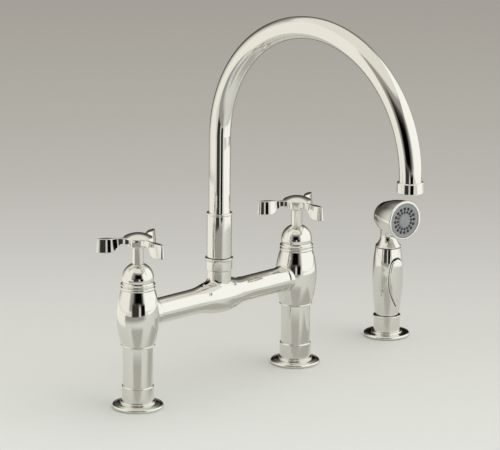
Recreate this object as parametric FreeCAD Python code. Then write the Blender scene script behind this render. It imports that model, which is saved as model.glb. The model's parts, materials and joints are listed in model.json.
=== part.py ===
import FreeCAD, Part
import math
import os

V = FreeCAD.Vector

# A bridge kitchen faucet with its side sprayer. Millimetres; +Z is up, the deck's top face is z = 0.
# The origin is midway between the two columns, +X runs along the bridge to the sprayer, -Y to the sink.

# ------------------------------------------------------------------------------ driving sizes
# fits
fit_gap = 0.1            # radial gap of a piece seated in another
running_gap = 0.05       # radial gap of a shaft that turns or slides in its bore
free_gap = 0.35          # gap round a moving piece that touches nothing
face_gap = 0.3           # gap under a piece that turns on another
shape_gap = 0.05         # between two curved faces that meet
edge = 0.5               # bevel on a turned edge
thread_bevel = 0.8       # bevel at a thread's start

# deck and shanks
hole_centres = 203.2     # between the two holes in the deck, 8 in
deck_grip = 32.0         # from the deck's top face to the washers
shank_r = 10.65          # plain stretch in the deck hole
thread_r = 10.4          # over the thread, half-inch straight pipe
shank_bore_r = 7.5
shank_plain_below = 29.0
shank_plain_above = 1.6
shank_above = 24.0
shank_below = 66.0
shank_end_r = 10.2       # turned down where the supply nut starts
shank_end = 18.0

# deck flanges of the columns
flange_r = 23.3
flange_height = 6.0
flange_rim = 3.2
flange_wall = 1.6
flange_rim_width = 2.2   # flat ring that stands on the deck
flange_roll = 0.9        # radius of the rim's rolled edge, in plan
flange_hollow = 0.5      # depth of the dish between rim and raised ring
flange_step_r = 15.8     # edge of the raised ring that carries the base ring
flange_hole_r = 12.3
gasket_height = 1.5
gasket_inner_r = 12.6
gasket_outer_r = 19.6

# washers and nuts under the deck
washer_r = 17.5
washer_height = 2.0
nut_flats = 30.0
nut_height = 9.0
nut_bevel_slope = 0.577  # 30 degrees

# base ring and leg of a column
base_ring_r = 14.6
base_ring_foot_r = 13.9
base_ring_foot = 1.2
base_ring_height = 14.7
base_ring_edge = 0.9
leg_r = 13.6
leg_wall = 2.4
leg_height = 36.1
leg_foot_r = 12.4
valve_spigot = 7.0       # length of a valve body inside its leg

# valve body
valve_height = 59.2
valve_lip_r = 15.4
valve_foot_r = 15.2
valve_belly_r = 19.1
valve_shoulder_r = 15.0
valve_top_r = 13.9
valve_belly_at = 27.2    # height of the belly over the valve body's foot
valve_shoulder_at = 52.2
valve_lip = 1.8          # height of the lip on the leg
valve_bead = 2.4         # bead round the shoulder
valve_bead_proud = 0.5
valve_groove = 0.7       # over the bead
valve_ring = 2.0         # round ring over the groove
passage_r = 8.5
cartridge_r = 11.1
cartridge_floor_at = 35.2

# bonnet
bonnet_ball_r = 14.2     # of the ball that the bonnet is a part of
bonnet_height = 16.0
bonnet_mouth_r = 5.6

# cartridge, discs and stem
cartridge_neck_r = 8.0
cartridge_shoulder = 3.0  # from the disc chamber's roof to the neck
cartridge_neck = 9.4
chamber_r = 9.0
seal_height = 2.2
seal_inner_r = 5.4
seal_outer_r = 7.4
disc_r = 8.7
disc_height = 3.0
disc_port_r = 1.9
disc_port_at = 5.2
disc_film = 0.02
stem_foot_r = 6.0
stem_foot = 2.4
stem_r = 3.8
spline_r = 3.4
packing_height = 2.6
packing_r = 5.6

# cross handle of three arms
arm_count = 3
arm_turn = -96.9         # direction of the first arm, degrees from +X
arm_reach = 37.05
arm_top = 23.8           # height of the arms' flat top over the bonnet's mouth
arm_root_height = 5.6
arm_pod_height = 12.9
arm_root_width = 4.8
arm_tip_width = 7.4
arm_slope_from = 14.5    # radius where the underside starts to fall
arm_slope_to = 23.5      # radius where the pod has its full depth
hub_r = 9.3
hub_height = 8.0
neck_r = 5.05
neck_sunk = 4.5          # of the neck inside the bonnet
neck_fillet = 0.6
hub_edge = 1.2
arm_edge = 0.9
cap_r = 12.8
cap_height = 4.3
cap_peg_r = 5.0
cap_peg = 1.6
screw_head_r = 3.7
screw_head_height = 2.2
screw_r = 2.0
screw_length = 12.0
hub_web = 1.6            # of the hub, between the screw's head and the stem
tap_spare = 1.5          # of the tapped hole under the screw's end

# bridge: two tubes, a swollen tee and its neck, cast in one
tube_r = 11.5
tube_bore_r = 7.5
tube_flare = 1.4         # how much a tube widens where it meets a valve body
tube_flare_length = 2.6
tee_r = 15.8
tee_half = 36.0
tee_neck_r = 11.0
tee_neck_height = 24.7   # from the bridge's axis to the neck's mouth
tee_neck_bore_r = 9.0
tee_fillet = 4.0
port_r = 8.0             # spigots in the valve bodies
port_bore_r = 5.2
port_gap = 0.5           # between a spigot's end and the cartridge's side
ring_section_r = 0.72
ring_groove = 2.0
ring_groove_depth = 1.5
ring_from_end = 2.6      # from a spigot's end to its ring
ring_squeeze = 0.03
grub_r = 1.5
grub_length = 5.0
grub_sunk = 0.5
grub_socket = 1.5
grub_socket_r = 0.7
grub_at = -22.0
grub_tilt = 31.0         # degrees over the horizontal, towards the sink

# diverter in the tee
seat_at = 8.5            # over the bridge's axis
seat_height = 3.0
seat_bore_r = 5.6
piston_r = 7.4
piston_height = 1.6
piston_lift = 2.0
piston_guide = 6.0

# spout
collar_foot_r = 12.0
collar_lip_r = 12.8
collar_height = 11.3
collar_thread = 7.5
collar_lip = 1.2         # from the widest line up to the top
collar_spread = 2.0      # height over which the collar widens to its lip
bush_r = 9.9
bush_height = 9.0
spigot_r = 7.8
spigot_bore_r = 5.6
spigot_reach = 12.2      # from the tee neck's mouth down
spigot_ring_pitch = 3.6
clip_r = 8.5
clip_height = 1.0
clip_groove = 0.9
clip_opening = 70.0
sleeve_r = 11.2
sleeve_height = 41.5
sleeve_lip_r = 11.65
sleeve_lip = 1.6
sleeve_floor = 4.0
spout_r = 9.7
spout_wall = 1.2
spout_rise = 111.5       # straight run over the collar, up to the bend
spout_bend_r = 114.5
spout_tail = 6.5

# aerator at the outlet
aerator_r = 11.5
aerator_height = 9.9
aerator_socket = 4.5     # length of the spout's end inside the aerator
insert_r = 8.8
insert_set_back = 0.6
insert_wall = 1.6
insert_lip = 0.5         # of the insert's rim under its screen
aerator_edge = 0.8
aerator_washer_height = 0.7

# sprayer holder
sprayer_x = 232.9
sprayer_y = 3.5
sprayer_turn = -8.0      # degrees, from facing the sink towards the columns
holder_flange_r = 22.4
holder_flange_height = 4.6
holder_flange_step_r = 14.6
holder_r = 12.7
holder_lip_r = 13.3
holder_lip = 1.8
holder_height = 16.0
holder_shank_r = 12.0
holder_end_r = 11.7
holder_end = 8.0
holder_below = 58.0
holder_gasket_inner_r = 14.0
holder_nut_flats = 34.0

# sprayer grip
tail_r = 9.4
tail_depth = 8.0         # below the deck's top face
tail_gap = 0.5           # round the tail in the holder
grip_foot_r = 11.5
grip_belly_r = 14.45
grip_top_r = 12.2
grip_foot = 1.2          # straight edge under the swelling side
grip_foot_at = 22.6
grip_belly_at = 54.0
grip_top_at = 87.4
water_r = 4.2

# sprayer head
skirt_r = 12.3
skirt_gap = 0.6
skirt_edge = 1.0
skirt_hollow = 1.6       # how far the skirt's side curves in
head_seat = 2.5          # from the grip's edge in to the head's seat
throat_r = 7.5
throat_at = 101.0
ball_r = 14.3
head_at = 117.65         # height of the spray face's centre
face_ahead = 24.3        # from the grip's axis to the bezel's front
bezel_r = 19.3
bezel_width = 2.2
bezel_depth = 2.2
bezel_round = 0.6
bell_front_r = 18.9
bell_middle_r = 17.4
bell_middle_back = 1.0   # of the bell's middle point behind halfway
bell_from = 77.0         # degrees of the ball, from its back to where the bell starts
face_depth = 3.4
face_set_back = 0.5
face_step = 2.0          # width of the step that the plate seats on
button_r = 6.2           # smooth centre of the plate
button_height = 0.25
chamber_depth = 10.0

# lever of the sprayer
lever_tip_at = 31.3
lever_widest_at = 57.0
lever_shoulder_at = 73.2
lever_top_at = 77.6
lever_half_width = 8.2
lever_shoulder_half = 6.0
leaf_fullness = 0.72     # share of the full width that the leaf's point has reached ...
leaf_fullness_at = 0.44  # ... at this share of the way up to the widest line
leaf_bulge = 0.6         # of the sides between widest line and shoulder
lever_proud = 1.3
lever_thickness = 3.4
lever_gap = 0.4
lever_notch = 1.2        # gap over the lever's rounded top
lever_travel = 3.0       # degrees
pin_r = 1.2
pin_half = 7.4
pin_grip = 0.02          # radial gap of the pin in the grip
pin_at = 37.5
pin_ahead = 9.0
lug_half = 2.2
lug_r = 2.3

# valve that the lever presses
plunger_at = 68.0
plunger_r = 2.4
plunger_tail = 0.5       # from the grip's axis to the plunger's inner end
plunger_crown = 0.7
spring_r = 2.3
spring_wire = 0.5
spring_turns = 3.5

# hose coupling under the grip
coupling_r = 8.2
coupling_height = 14.0
coupling_peg = 12.0
barb_r = 4.6
barb_length = 18.0
barb_taper = 3.0
hose_bore_r = 2.8

# ------------------------------------------------------------------------------ levels
flange_top = flange_height
leg_bottom = flange_top + base_ring_height
valve_bottom = leg_bottom + leg_height
valve_top = valve_bottom + valve_height
bridge_z = valve_bottom + valve_belly_at
bonnet_top = valve_top + bonnet_height
arms_z = bonnet_top + arm_top
column_x = hole_centres / 2
tee_mouth = bridge_z + tee_neck_height
collar_top = tee_mouth + collar_height
sleeve_bottom = collar_top + face_gap
sleeve_top = sleeve_bottom + sleeve_height
bend_z = collar_top + spout_rise
outlet_y = -2 * spout_bend_r
tail_z = bend_z - spout_tail
disc_seat = valve_bottom + cartridge_floor_at + seal_height
disc_mate = disc_seat + disc_height + disc_film
chamber_top = disc_mate + disc_height + stem_foot + face_gap
screw_seat = arms_z - cap_peg - face_gap - screw_head_height
stem_top = screw_seat - hub_web
grip_floor_z = -tail_depth

# ------------------------------------------------------------------------------ helpers


def outline(path):
    """Closed wire in the XZ plane. A point of four numbers is an arc: its middle, then its end."""
    edges = []
    last = path[0]
    for point in path[1:] + path[:1]:
        start = V(last[-2], 0, last[-1])
        end = V(point[-2], 0, point[-1])
        if len(point) == 4:
            edges.append(Part.Arc(start, V(point[0], 0, point[1]), end).toShape())
        elif start.distanceToPoint(end) > 1e-7:
            edges.append(Part.makeLine(start, end))
        last = point
    return Part.Wire(edges)


def lathe(path):
    """Turn an outline of (radius, height) points about the Z axis."""
    return Part.Face(outline(path)).revolve(V(0, 0, 0), V(0, 0, 1), 360)


def ring(inner, outer, low, high):
    """Plain ring or, with no inner radius, a disc."""
    return lathe([(inner, low), (outer, low), (outer, high), (inner, high)])


def swell(r0, z0, r1, z1):
    """S-curve of two equal arcs, upright at both of its ends."""
    dr = r1 - r0
    dz = z1 - z0
    bend = (dz * dz + dr * dr) / (4 * abs(dr))
    half = math.asin(abs(dz) / (2 * bend)) / 2
    out = math.copysign(bend * (1 - math.cos(half)), dr)
    along = math.copysign(bend * math.sin(half), dz)
    return [
        (r0 + out, z0 + along, (r0 + r1) / 2, (z0 + z1) / 2),
        (r1 - out, z1 - along, r1, z1),
    ]


def crown(r, z, top):
    """Arc from a rim up to the axis, centred on the axis."""
    rise = top - z
    bend = (r * r + rise * rise) / (2 * abs(rise))
    half = math.asin(r / bend) / 2
    return (bend * math.sin(half), top - math.copysign(bend * (1 - math.cos(half)), rise), 0, top)


def barrel(r0, z0, r1, z1):
    """Middle of the arc that starts upright at a barrel's widest line and ends at another point."""
    dr = r0 - r1
    dz = z1 - z0
    bend = (dr * dr + dz * dz) / (2 * dr)
    half = math.asin(dz / bend) / 2
    return (r0 - bend * (1 - math.cos(half)), z0 + bend * math.sin(half))


def along_x(shape):
    """Lay a shape that was turned about Z along +X."""
    shape = shape.copy()
    shape.rotate(V(0, 0, 0), V(0, 1, 0), 90)
    return shape


def towards_sink(shape):
    """Lay a shape that was turned about Z along -Y."""
    shape = shape.copy()
    shape.rotate(V(0, 0, 0), V(1, 0, 0), 90)
    return shape


def moved(shape, x=0.0, y=0.0, z=0.0):
    """Copy of a shape, shifted."""
    shape = shape.copy()
    shape.translate(V(x, y, z))
    return shape


def rod(r, low, high):
    """Upright cylinder on the Z axis."""
    return Part.makeCylinder(r, high - low, V(0, 0, low))


def rod_x(r, low, high):
    """Cylinder on the X axis."""
    return Part.makeCylinder(r, high - low, V(low, 0, 0), V(1, 0, 0))


def rod_front(r, low, high):
    """Cylinder on the -Y axis, from one distance in front of the origin to another."""
    return Part.makeCylinder(r, high - low, V(0, -low, 0), V(0, -1, 0))


def hexagon(flats, low, high):
    """Upright hexagonal prism."""
    corner = flats / math.sqrt(3)
    points = []
    for i in range(7):
        angle = math.radians(60 * i)
        points.append(V(corner * math.cos(angle), corner * math.sin(angle), low))
    return Part.Face(Part.makePolygon(points)).extrude(V(0, 0, high - low))


# ------------------------------------------------------------------------------ a column


def flange(rim_r, height, step_r, hole_r):
    """Deck flange: rolled rim, dished top that rises to a raised ring, hollow underneath."""
    rolled = rim_r - flange_roll
    rim_inner = rim_r - flange_rim_width
    dish_rim = rolled - 1.5
    dish = (flange_rim + height - flange_hollow) / 2
    return lathe([
        (rim_inner, 0),
        (rolled, 0),
        (rim_r, flange_rim / 2, rolled, flange_rim),
        ((rolled + dish_rim) / 2, flange_rim + 0.25, dish_rim, flange_rim),
        ((rim_r + step_r) / 2, dish - flange_hollow, step_r, dish),
        (step_r, height - edge),
        (step_r - edge, height),
        (hole_r, height),
        (hole_r, height - flange_wall),
        (rim_inner, gasket_height),
    ])


def column_flange():
    return flange(flange_r, flange_height, flange_step_r, flange_hole_r)


def base_ring():
    """Ring that clamps the flange and takes the leg's foot."""
    low = flange_top
    high = leg_bottom
    bore = leg_foot_r + fit_gap
    return lathe([
        (bore, low),
        (base_ring_foot_r, low),
        (base_ring_foot_r, low + base_ring_foot),
        (base_ring_r, low + base_ring_foot + edge),
        (base_ring_r, high - base_ring_edge),
        (base_ring_r - base_ring_edge, high),
        (bore, high),
    ])


def leg():
    """Tube between base ring and valve body; its narrow foot stands on the flange."""
    foot = flange_top + fit_gap
    bore = leg_r - leg_wall
    screwed = shank_above + thread_bevel
    return lathe([
        (thread_r + fit_gap, foot),
        (leg_foot_r, foot),
        (leg_foot_r, leg_bottom),
        (leg_r, leg_bottom),
        (leg_r, valve_bottom),
        (bore, valve_bottom),
        (bore, screwed),
        (thread_r + fit_gap, screwed),
    ])


def shank():
    """Threaded pipe that hangs through the deck, with a plain stretch in the hole."""
    plain_low = -shank_plain_below
    plain_high = shank_plain_above
    return lathe([
        (shank_bore_r, -shank_below),
        (shank_end_r - thread_bevel, -shank_below),
        (shank_end_r, -shank_below + thread_bevel),
        (shank_end_r, -shank_below + shank_end),
        (thread_r, -shank_below + shank_end),
        (thread_r, plain_low),
        (shank_r, plain_low),
        (shank_r, plain_high),
        (thread_r, plain_high),
        (thread_r, shank_above),
        (shank_bore_r, shank_above),
    ])


def deck_washer(inner, outer):
    return ring(inner, outer, -deck_grip - washer_height, -deck_grip)


def lock_nut(flats, bore):
    """Hexagon nut under a washer, the corners of its lower face bevelled."""
    top = -deck_grip - washer_height
    low = top - nut_height
    past = flats / 10
    turned = lathe([
        (0, low),
        (flats / 2, low),
        (flats / 2 + past, low + past * nut_bevel_slope),
        (flats / 2 + past, top),
        (0, top),
    ])
    return hexagon(flats, low, top).common(turned).cut(rod(bore, low, top))


def valve_outside(extra=0.0):
    """Outer outline of a valve body from foot to top: lip, belly, bead, top ring and cove."""
    foot = valve_bottom
    lip = valve_lip_r + extra
    belly_z = foot + valve_belly_at
    shoulder_z = foot + valve_shoulder_at
    body_z = foot + valve_lip + edge
    shoulder = valve_shoulder_r + extra
    bead_top = shoulder_z + valve_bead
    ring_low = bead_top + 2 * edge
    ring_top = ring_low + valve_ring
    path = [
        (lip - 2 * edge, foot),
        (lip, foot + valve_lip / 2, lip - edge, foot + valve_lip),
        (valve_foot_r + extra, body_z),
    ]
    belly = valve_belly_r + extra
    path.append((*barrel(belly, belly_z, valve_foot_r + extra, body_z), belly, belly_z))
    path.append((*barrel(belly, belly_z, shoulder, shoulder_z), shoulder, shoulder_z))
    path += [
        (shoulder + valve_bead_proud, (shoulder_z + bead_top) / 2, shoulder, bead_top),
        (shoulder - valve_groove, bead_top + edge),
        (shoulder - valve_groove, ring_low),
        (shoulder + valve_bead_proud, (ring_low + ring_top) / 2, shoulder - valve_groove / 2, ring_top),
        (valve_top_r + edge + extra, (ring_top + valve_top) / 2 - edge, valve_top_r + extra, valve_top),
    ]
    return path


def valve_body(bridge_side):
    """Bulging valve body with its cartridge bore and the side port for the bridge's spigot."""
    foot = valve_bottom
    floor_z = foot + cartridge_floor_at
    spigot = leg_r - leg_wall - fit_gap
    bore = cartridge_r + fit_gap
    inside = [
        (bore, valve_top),
        (bore, floor_z),
        (passage_r, floor_z),
        (passage_r, foot - valve_spigot),
        (spigot, foot - valve_spigot),
        (spigot, foot),
    ]
    body = lathe(valve_outside() + inside)
    port = moved(rod_x(port_r + fit_gap, 0, valve_belly_r + 2), z=bridge_z)
    if bridge_side < 0:
        port.rotate(V(0, 0, 0), V(0, 0, 1), 180)
    return body.cut(port)


def bonnet():
    """Dome over the cartridge, open at the top for the handle's neck."""
    low = valve_top
    middle = bonnet_top - math.sqrt(bonnet_ball_r * bonnet_ball_r - bonnet_mouth_r * bonnet_mouth_r)
    under = middle - low - edge
    foot = math.sqrt(bonnet_ball_r * bonnet_ball_r - under * under)
    half = (math.acos(bonnet_mouth_r / bonnet_ball_r) - math.asin(under / bonnet_ball_r)) / 2
    side = (bonnet_ball_r * math.cos(half), middle + bonnet_ball_r * math.sin(half))
    neck_bore = cartridge_neck_r + fit_gap
    neck_top = chamber_top + cartridge_shoulder + cartridge_neck + face_gap
    mouth = neck_r + free_gap
    return lathe([
        (neck_bore, low),
        (foot - edge, low),
        (foot, low + edge),
        (side[0], side[1], bonnet_mouth_r, bonnet_top),
        (mouth, bonnet_top),
        (mouth, neck_top),
        (neck_bore, neck_top),
    ])


def cartridge():
    """Brass shell of the ceramic valve: open below for the discs, a neck above for the stem."""
    low = valve_bottom + cartridge_floor_at
    shoulder = chamber_top + cartridge_shoulder
    top = shoulder + cartridge_neck
    packing_low = top - packing_height - 2 * fit_gap
    stem_bore = stem_r + running_gap
    return lathe([
        (chamber_r, low),
        (cartridge_r, low),
        (cartridge_r, shoulder),
        (cartridge_neck_r, shoulder),
        (cartridge_neck_r, top),
        (packing_r + fit_gap, top),
        (packing_r + fit_gap, packing_low),
        (stem_bore, packing_low),
        (stem_bore, chamber_top),
        (chamber_r, chamber_top),
    ])


def stem_packing():
    """Rubber ring that seals the stem in the cartridge's neck."""
    top = chamber_top + cartridge_shoulder + cartridge_neck - 2 * fit_gap
    return ring(stem_r + running_gap, packing_r, top - packing_height, top)


def seat_seal():
    """Rubber ring that lifts the fixed disc off the valve body's floor."""
    low = valve_bottom + cartridge_floor_at
    return ring(seal_inner_r, seal_outer_r, low, low + seal_height)


def disc(low, turn):
    """Ceramic disc with two round ports."""
    body = rod(disc_r, low, low + disc_height)
    for angle in (turn, turn + 180):
        port = moved(rod(disc_port_r, low, low + disc_height), x=disc_port_at)
        port.rotate(V(0, 0, 0), V(0, 0, 1), angle)
        body = body.cut(port)
    return body


def stem():
    """Stem with a foot on the moving disc and a splined top tapped for the handle's screw."""
    foot = disc_mate + disc_height
    shaft_end = chamber_top + cartridge_shoulder + cartridge_neck + 2 * fit_gap
    tapped = screw_seat - screw_length - tap_spare
    return lathe([
        (0, foot),
        (stem_foot_r, foot),
        (stem_foot_r, foot + stem_foot),
        (stem_r, foot + stem_foot),
        (stem_r, shaft_end),
        (spline_r, shaft_end),
        (spline_r, stem_top),
        (screw_r + fit_gap, stem_top),
        (screw_r + fit_gap, tapped),
        (0, tapped),
    ])


def arm():
    """One prong along +X: its side outline and its plan outline, one cut by the other."""
    top = arms_z
    root = top - arm_root_height
    pod = top - arm_pod_height
    deep = arm_tip_width
    side_path = [(0, top), (0, root), (arm_slope_from, root)]
    middle_r = (arm_slope_from + arm_slope_to) / 2
    middle_z = (root + pod) / 2
    sag = (arm_slope_to - arm_slope_from) / 8
    side_path += [
        (arm_slope_from + sag * 2.6, root - sag * 1.3, middle_r, middle_z),
        (arm_slope_to - sag * 2.6, pod + sag * 1.3, arm_slope_to, pod),
        (arm_reach - arm_edge, pod),
        (arm_reach, pod + arm_edge),
        (arm_reach, top - arm_edge),
        (arm_reach - arm_edge, top),
    ]
    side = moved(Part.Face(outline(side_path)), y=-deep).extrude(V(0, 2 * deep, 0))
    tip = arm_reach - arm_tip_width / 2
    root_half = arm_root_width / 2
    tip_half = arm_tip_width / 2
    edges = [
        Part.makeLine(V(0, -root_half, 0), V(hub_r, -root_half, 0)),
        Part.makeLine(V(hub_r, -root_half, 0), V(tip, -tip_half, 0)),
        Part.Arc(V(tip, -tip_half, 0), V(arm_reach, 0, 0), V(tip, tip_half, 0)).toShape(),
        Part.makeLine(V(tip, tip_half, 0), V(hub_r, root_half, 0)),
        Part.makeLine(V(hub_r, root_half, 0), V(0, root_half, 0)),
        Part.makeLine(V(0, root_half, 0), V(0, -root_half, 0)),
    ]
    plan = moved(Part.Face(Part.Wire(edges)), z=pod - 1).extrude(V(0, 0, arm_pod_height + 2))
    return side.common(plan)


def handle():
    """Cross handle: three arms on a hub, with the neck that goes down into the bonnet."""
    hub_low = arms_z - hub_height
    neck_low = bonnet_top - neck_sunk
    body = lathe([
        (0, neck_low),
        (neck_r, neck_low),
        (neck_r, hub_low - neck_fillet),
        (neck_r + 0.3 * neck_fillet, hub_low - 0.3 * neck_fillet, neck_r + neck_fillet, hub_low),
        (hub_r - hub_edge, hub_low),
        (hub_r, hub_low + hub_edge),
        (hub_r, arms_z),
        (0, arms_z),
    ])
    for i in range(arm_count):
        prong = arm()
        prong.rotate(V(0, 0, 0), V(0, 0, 1), arm_turn + i * 360 / arm_count)
        body = body.fuse(prong)
    body = body.removeSplitter()
    body = body.cut(rod(spline_r + fit_gap, neck_low, stem_top + fit_gap))
    body = body.cut(rod(screw_r + fit_gap, stem_top, screw_seat))
    return body.cut(rod(cap_peg_r + fit_gap, screw_seat, arms_z))


def handle_cap():
    """Lens-shaped cap whose peg sits in the hub."""
    return lathe([
        (0, arms_z - cap_peg),
        (cap_peg_r, arms_z - cap_peg),
        (cap_peg_r, arms_z),
        (cap_r, arms_z),
        (cap_r, arms_z + edge),
        crown(cap_r, arms_z + edge, arms_z + cap_height),
    ])


def handle_screw():
    """Screw under the cap that holds the handle on the stem."""
    top = screw_seat + screw_head_height
    return lathe([
        (0, screw_seat - screw_length),
        (screw_r, screw_seat - screw_length),
        (screw_r, screw_seat),
        (screw_head_r, screw_seat),
        (screw_head_r, top - edge),
        (screw_head_r - 2 * edge, top),
        (0, top),
    ])


# ------------------------------------------------------------------------------ bridge


def bridge():
    """Casting of both tubes and the swollen tee, its neck blended in, with spigots at the ends."""
    flare_end = column_x - valve_belly_r
    flare_from = flare_end - tube_flare_length
    flare_r = tube_r + tube_flare
    half = column_x - math.sqrt(valve_belly_r * valve_belly_r - flare_r * flare_r) + edge
    diagonal = math.sin(math.radians(45))
    middle_r = tube_r + tube_flare * (1 - diagonal)
    middle_x = flare_from + tube_flare_length * diagonal
    right = [(tube_r, flare_from), (middle_r, middle_x, flare_r, flare_end), (flare_r, half)]
    left = [(flare_r, -flare_end), (middle_r, -middle_x, tube_r, -flare_from)]
    outside = [(0, -half), (flare_r, -half)] + left
    outside += [(tube_r, -tee_half)] + swell(tube_r, -tee_half, tee_r, 0) + swell(tee_r, 0, tube_r, tee_half)
    outside += right + [(0, half)]
    body = moved(along_x(lathe(outside)), z=bridge_z)
    body = body.fuse(rod(tee_neck_r, bridge_z, tee_mouth))
    body = blend_neck(body)
    for side in (-1, 1):
        envelope = lathe([(0, valve_bottom)] + valve_outside(shape_gap) + [(0, valve_top)])
        body = body.cut(moved(envelope, x=side * column_x))
    spigot_end = port_end()
    body = body.fuse(moved(rod_x(port_r, -spigot_end, spigot_end), z=bridge_z))
    body = body.cut(moved(rod_x(port_bore_r, -spigot_end, spigot_end), z=bridge_z))
    plain = flare_from - 2
    body = body.cut(moved(rod_x(tube_bore_r, -plain, plain), z=bridge_z))
    body = body.cut(rod(tee_neck_bore_r, bridge_z, tee_mouth))
    for side in (-1, 1):
        body = body.cut(moved(along_x(ring_groove_at(side)), z=bridge_z))
    return body.cut(grub_hole())


def blend_neck(body):
    """Round the corner where the neck leaves the tee."""
    corner = []
    for edge in body.Edges:
        box = edge.BoundBox
        near = max(abs(box.XMin), abs(box.XMax), abs(box.YMin), abs(box.YMax)) < tee_neck_r + 0.1
        if near and box.ZMin > bridge_z + 5 and box.ZMax < tee_mouth - 1:
            corner.append(edge)
    return body.makeFillet(tee_fillet, corner)


def port_end():
    """Distance of a spigot's end from the middle of the bridge."""
    return column_x - cartridge_r - port_gap


def ring_centre(side):
    return side * (port_end() - ring_from_end)


def ring_groove_at(side):
    middle = ring_centre(side)
    floor_r = port_r - ring_groove_depth
    return ring(floor_r, port_r + 1, middle - ring_groove / 2, middle + ring_groove / 2)


def bridge_rings():
    """O-rings on the two spigots."""
    major = port_r + fit_gap - ring_section_r - ring_squeeze
    rings = []
    for side in (-1, 1):
        rings.append(Part.makeTorus(major, ring_section_r, V(ring_centre(side), 0, bridge_z), V(1, 0, 0)))
    return Part.Compound(rings)


def grub_axis():
    tilt = math.radians(grub_tilt)
    return V(0, -math.cos(tilt), math.sin(tilt))


def tee_radius(x):
    """Radius of the swollen tee at a distance from its middle, on its S-curve of two arcs."""
    dr = tee_r - tube_r
    bend = (tee_half * tee_half + dr * dr) / (4 * dr)
    from_arc_end = min(abs(x), tee_half - abs(x))
    drop = bend - math.sqrt(bend * bend - from_arc_end * from_arc_end)
    if abs(x) < tee_half / 2:
        return tee_r - drop
    return tube_r + drop


def grub_bottom():
    """Bottom of the grub screw's hole."""
    return V(grub_at, 0, bridge_z) + grub_axis() * (tee_radius(grub_at) - grub_length)


def grub_hole():
    return Part.makeCylinder(grub_r + fit_gap, 2 * grub_length, grub_bottom(), grub_axis())


def grub_screw():
    """Grub screw just under the tee's surface, with its socket."""
    body = Part.makeCylinder(grub_r, grub_length - grub_sunk, grub_bottom(), grub_axis())
    socket = grub_bottom() + grub_axis() * (grub_length - grub_sunk - grub_socket)
    return body.cut(Part.makeCylinder(grub_socket_r, grub_length, socket, grub_axis()))


def diverter_seat():
    """Seat ring pressed into the neck, over the bridge's passage."""
    low = bridge_z + seat_at
    return ring(seat_bore_r, tee_neck_bore_r - fit_gap, low, low + seat_height)


def diverter_piston():
    """Piston that rises against its seat when the sprayer is opened."""
    seat = bridge_z + seat_at
    top = seat - piston_lift - face_gap
    return lathe([
        (0, top - piston_height),
        (piston_r, top - piston_height),
        (piston_r, top),
        (seat_bore_r - face_gap, top),
        (seat_bore_r - face_gap, top + piston_guide),
        (seat_bore_r - face_gap - 1.2, top + piston_guide),
        (seat_bore_r - face_gap - 1.2, top),
        (0, top),
    ])


# ------------------------------------------------------------------------------ spout


def spout_collar():
    """Gland nut on the tee's neck: spreads to a lip on top, screwed into the neck below."""
    bore = spigot_r + running_gap
    bush_bore = bush_r + fit_gap
    bush_floor = bush_low()
    return lathe([
        (bore, tee_mouth - collar_thread),
        (tee_neck_bore_r - fit_gap, tee_mouth - collar_thread),
        (tee_neck_bore_r - fit_gap, tee_mouth),
        (collar_foot_r - edge, tee_mouth),
        (collar_foot_r, tee_mouth + edge),
        (collar_foot_r, collar_top - collar_lip - collar_spread),
        (collar_lip_r, collar_top - collar_lip),
        (collar_lip_r, collar_top - edge),
        (collar_lip_r - edge, collar_top),
        (bush_bore, collar_top),
        (bush_bore, bush_floor),
        (bore, bush_floor),
    ])


def spout_bush():
    """Acetal bush that the spout turns in."""
    return ring(spigot_r + running_gap, bush_r, bush_low(), bush_low() + bush_height)


def bush_low():
    """Foot of the bush, which stops a little short of the collar's top."""
    return collar_top - bush_height - face_gap


def spigot_rings_z():
    """Heights of the two O-rings, inside the collar's threaded end."""
    middle = tee_mouth - collar_thread / 2 + edge
    return (middle - spigot_ring_pitch / 2, middle + spigot_ring_pitch / 2)


def spout_sleeve():
    """Sleeve brazed to the spout, with the spigot that turns in the collar."""
    foot = tee_mouth - spigot_reach
    socket = spout_r + shape_gap
    clip_z = tee_mouth - collar_thread - face_gap - clip_height
    body = lathe([
        (spigot_bore_r, foot),
        (spigot_r, foot),
        (spigot_r, sleeve_bottom),
        (sleeve_r - edge, sleeve_bottom),
        (sleeve_r, sleeve_bottom + edge),
        (sleeve_r, sleeve_top - sleeve_lip - edge),
        (sleeve_lip_r, sleeve_top - sleeve_lip),
        (sleeve_lip_r, sleeve_top - edge),
        (sleeve_lip_r - edge, sleeve_top),
        (socket, sleeve_top),
        (socket, sleeve_bottom + sleeve_floor),
        (spigot_bore_r, sleeve_bottom + sleeve_floor),
    ])
    half = ring_groove / 2
    for middle in spigot_rings_z():
        body = body.cut(ring(spigot_r - ring_groove_depth, spigot_r + 1, middle - half, middle + half))
    return body.cut(ring(spigot_r - clip_groove, spigot_r + 1, clip_z, clip_z + clip_height))


def spout_rings():
    """O-rings on the spout's spigot."""
    major = spigot_r - ring_section_r
    rings = []
    for middle in spigot_rings_z():
        rings.append(Part.makeTorus(major, ring_section_r, V(0, 0, middle), V(0, 0, 1)))
    return Part.Compound(rings)


def spout_clip():
    """Open ring that keeps the spigot from rising out of the collar."""
    low = tee_mouth - collar_thread - face_gap - clip_height
    side_gap = running_gap
    body = ring(spigot_r - clip_groove + side_gap, clip_r, low + side_gap, low + clip_height - side_gap)
    half = math.radians(clip_opening / 2)
    reach = 2 * clip_r
    one_side = V(reach * math.cos(half), -reach * math.sin(half), low)
    other_side = V(reach * math.cos(half), reach * math.sin(half), low)
    wedge = Part.Face(Part.makePolygon([V(0, 0, low), one_side, other_side, V(0, 0, low)]))
    return body.cut(wedge.extrude(V(0, 0, clip_height)))


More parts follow.
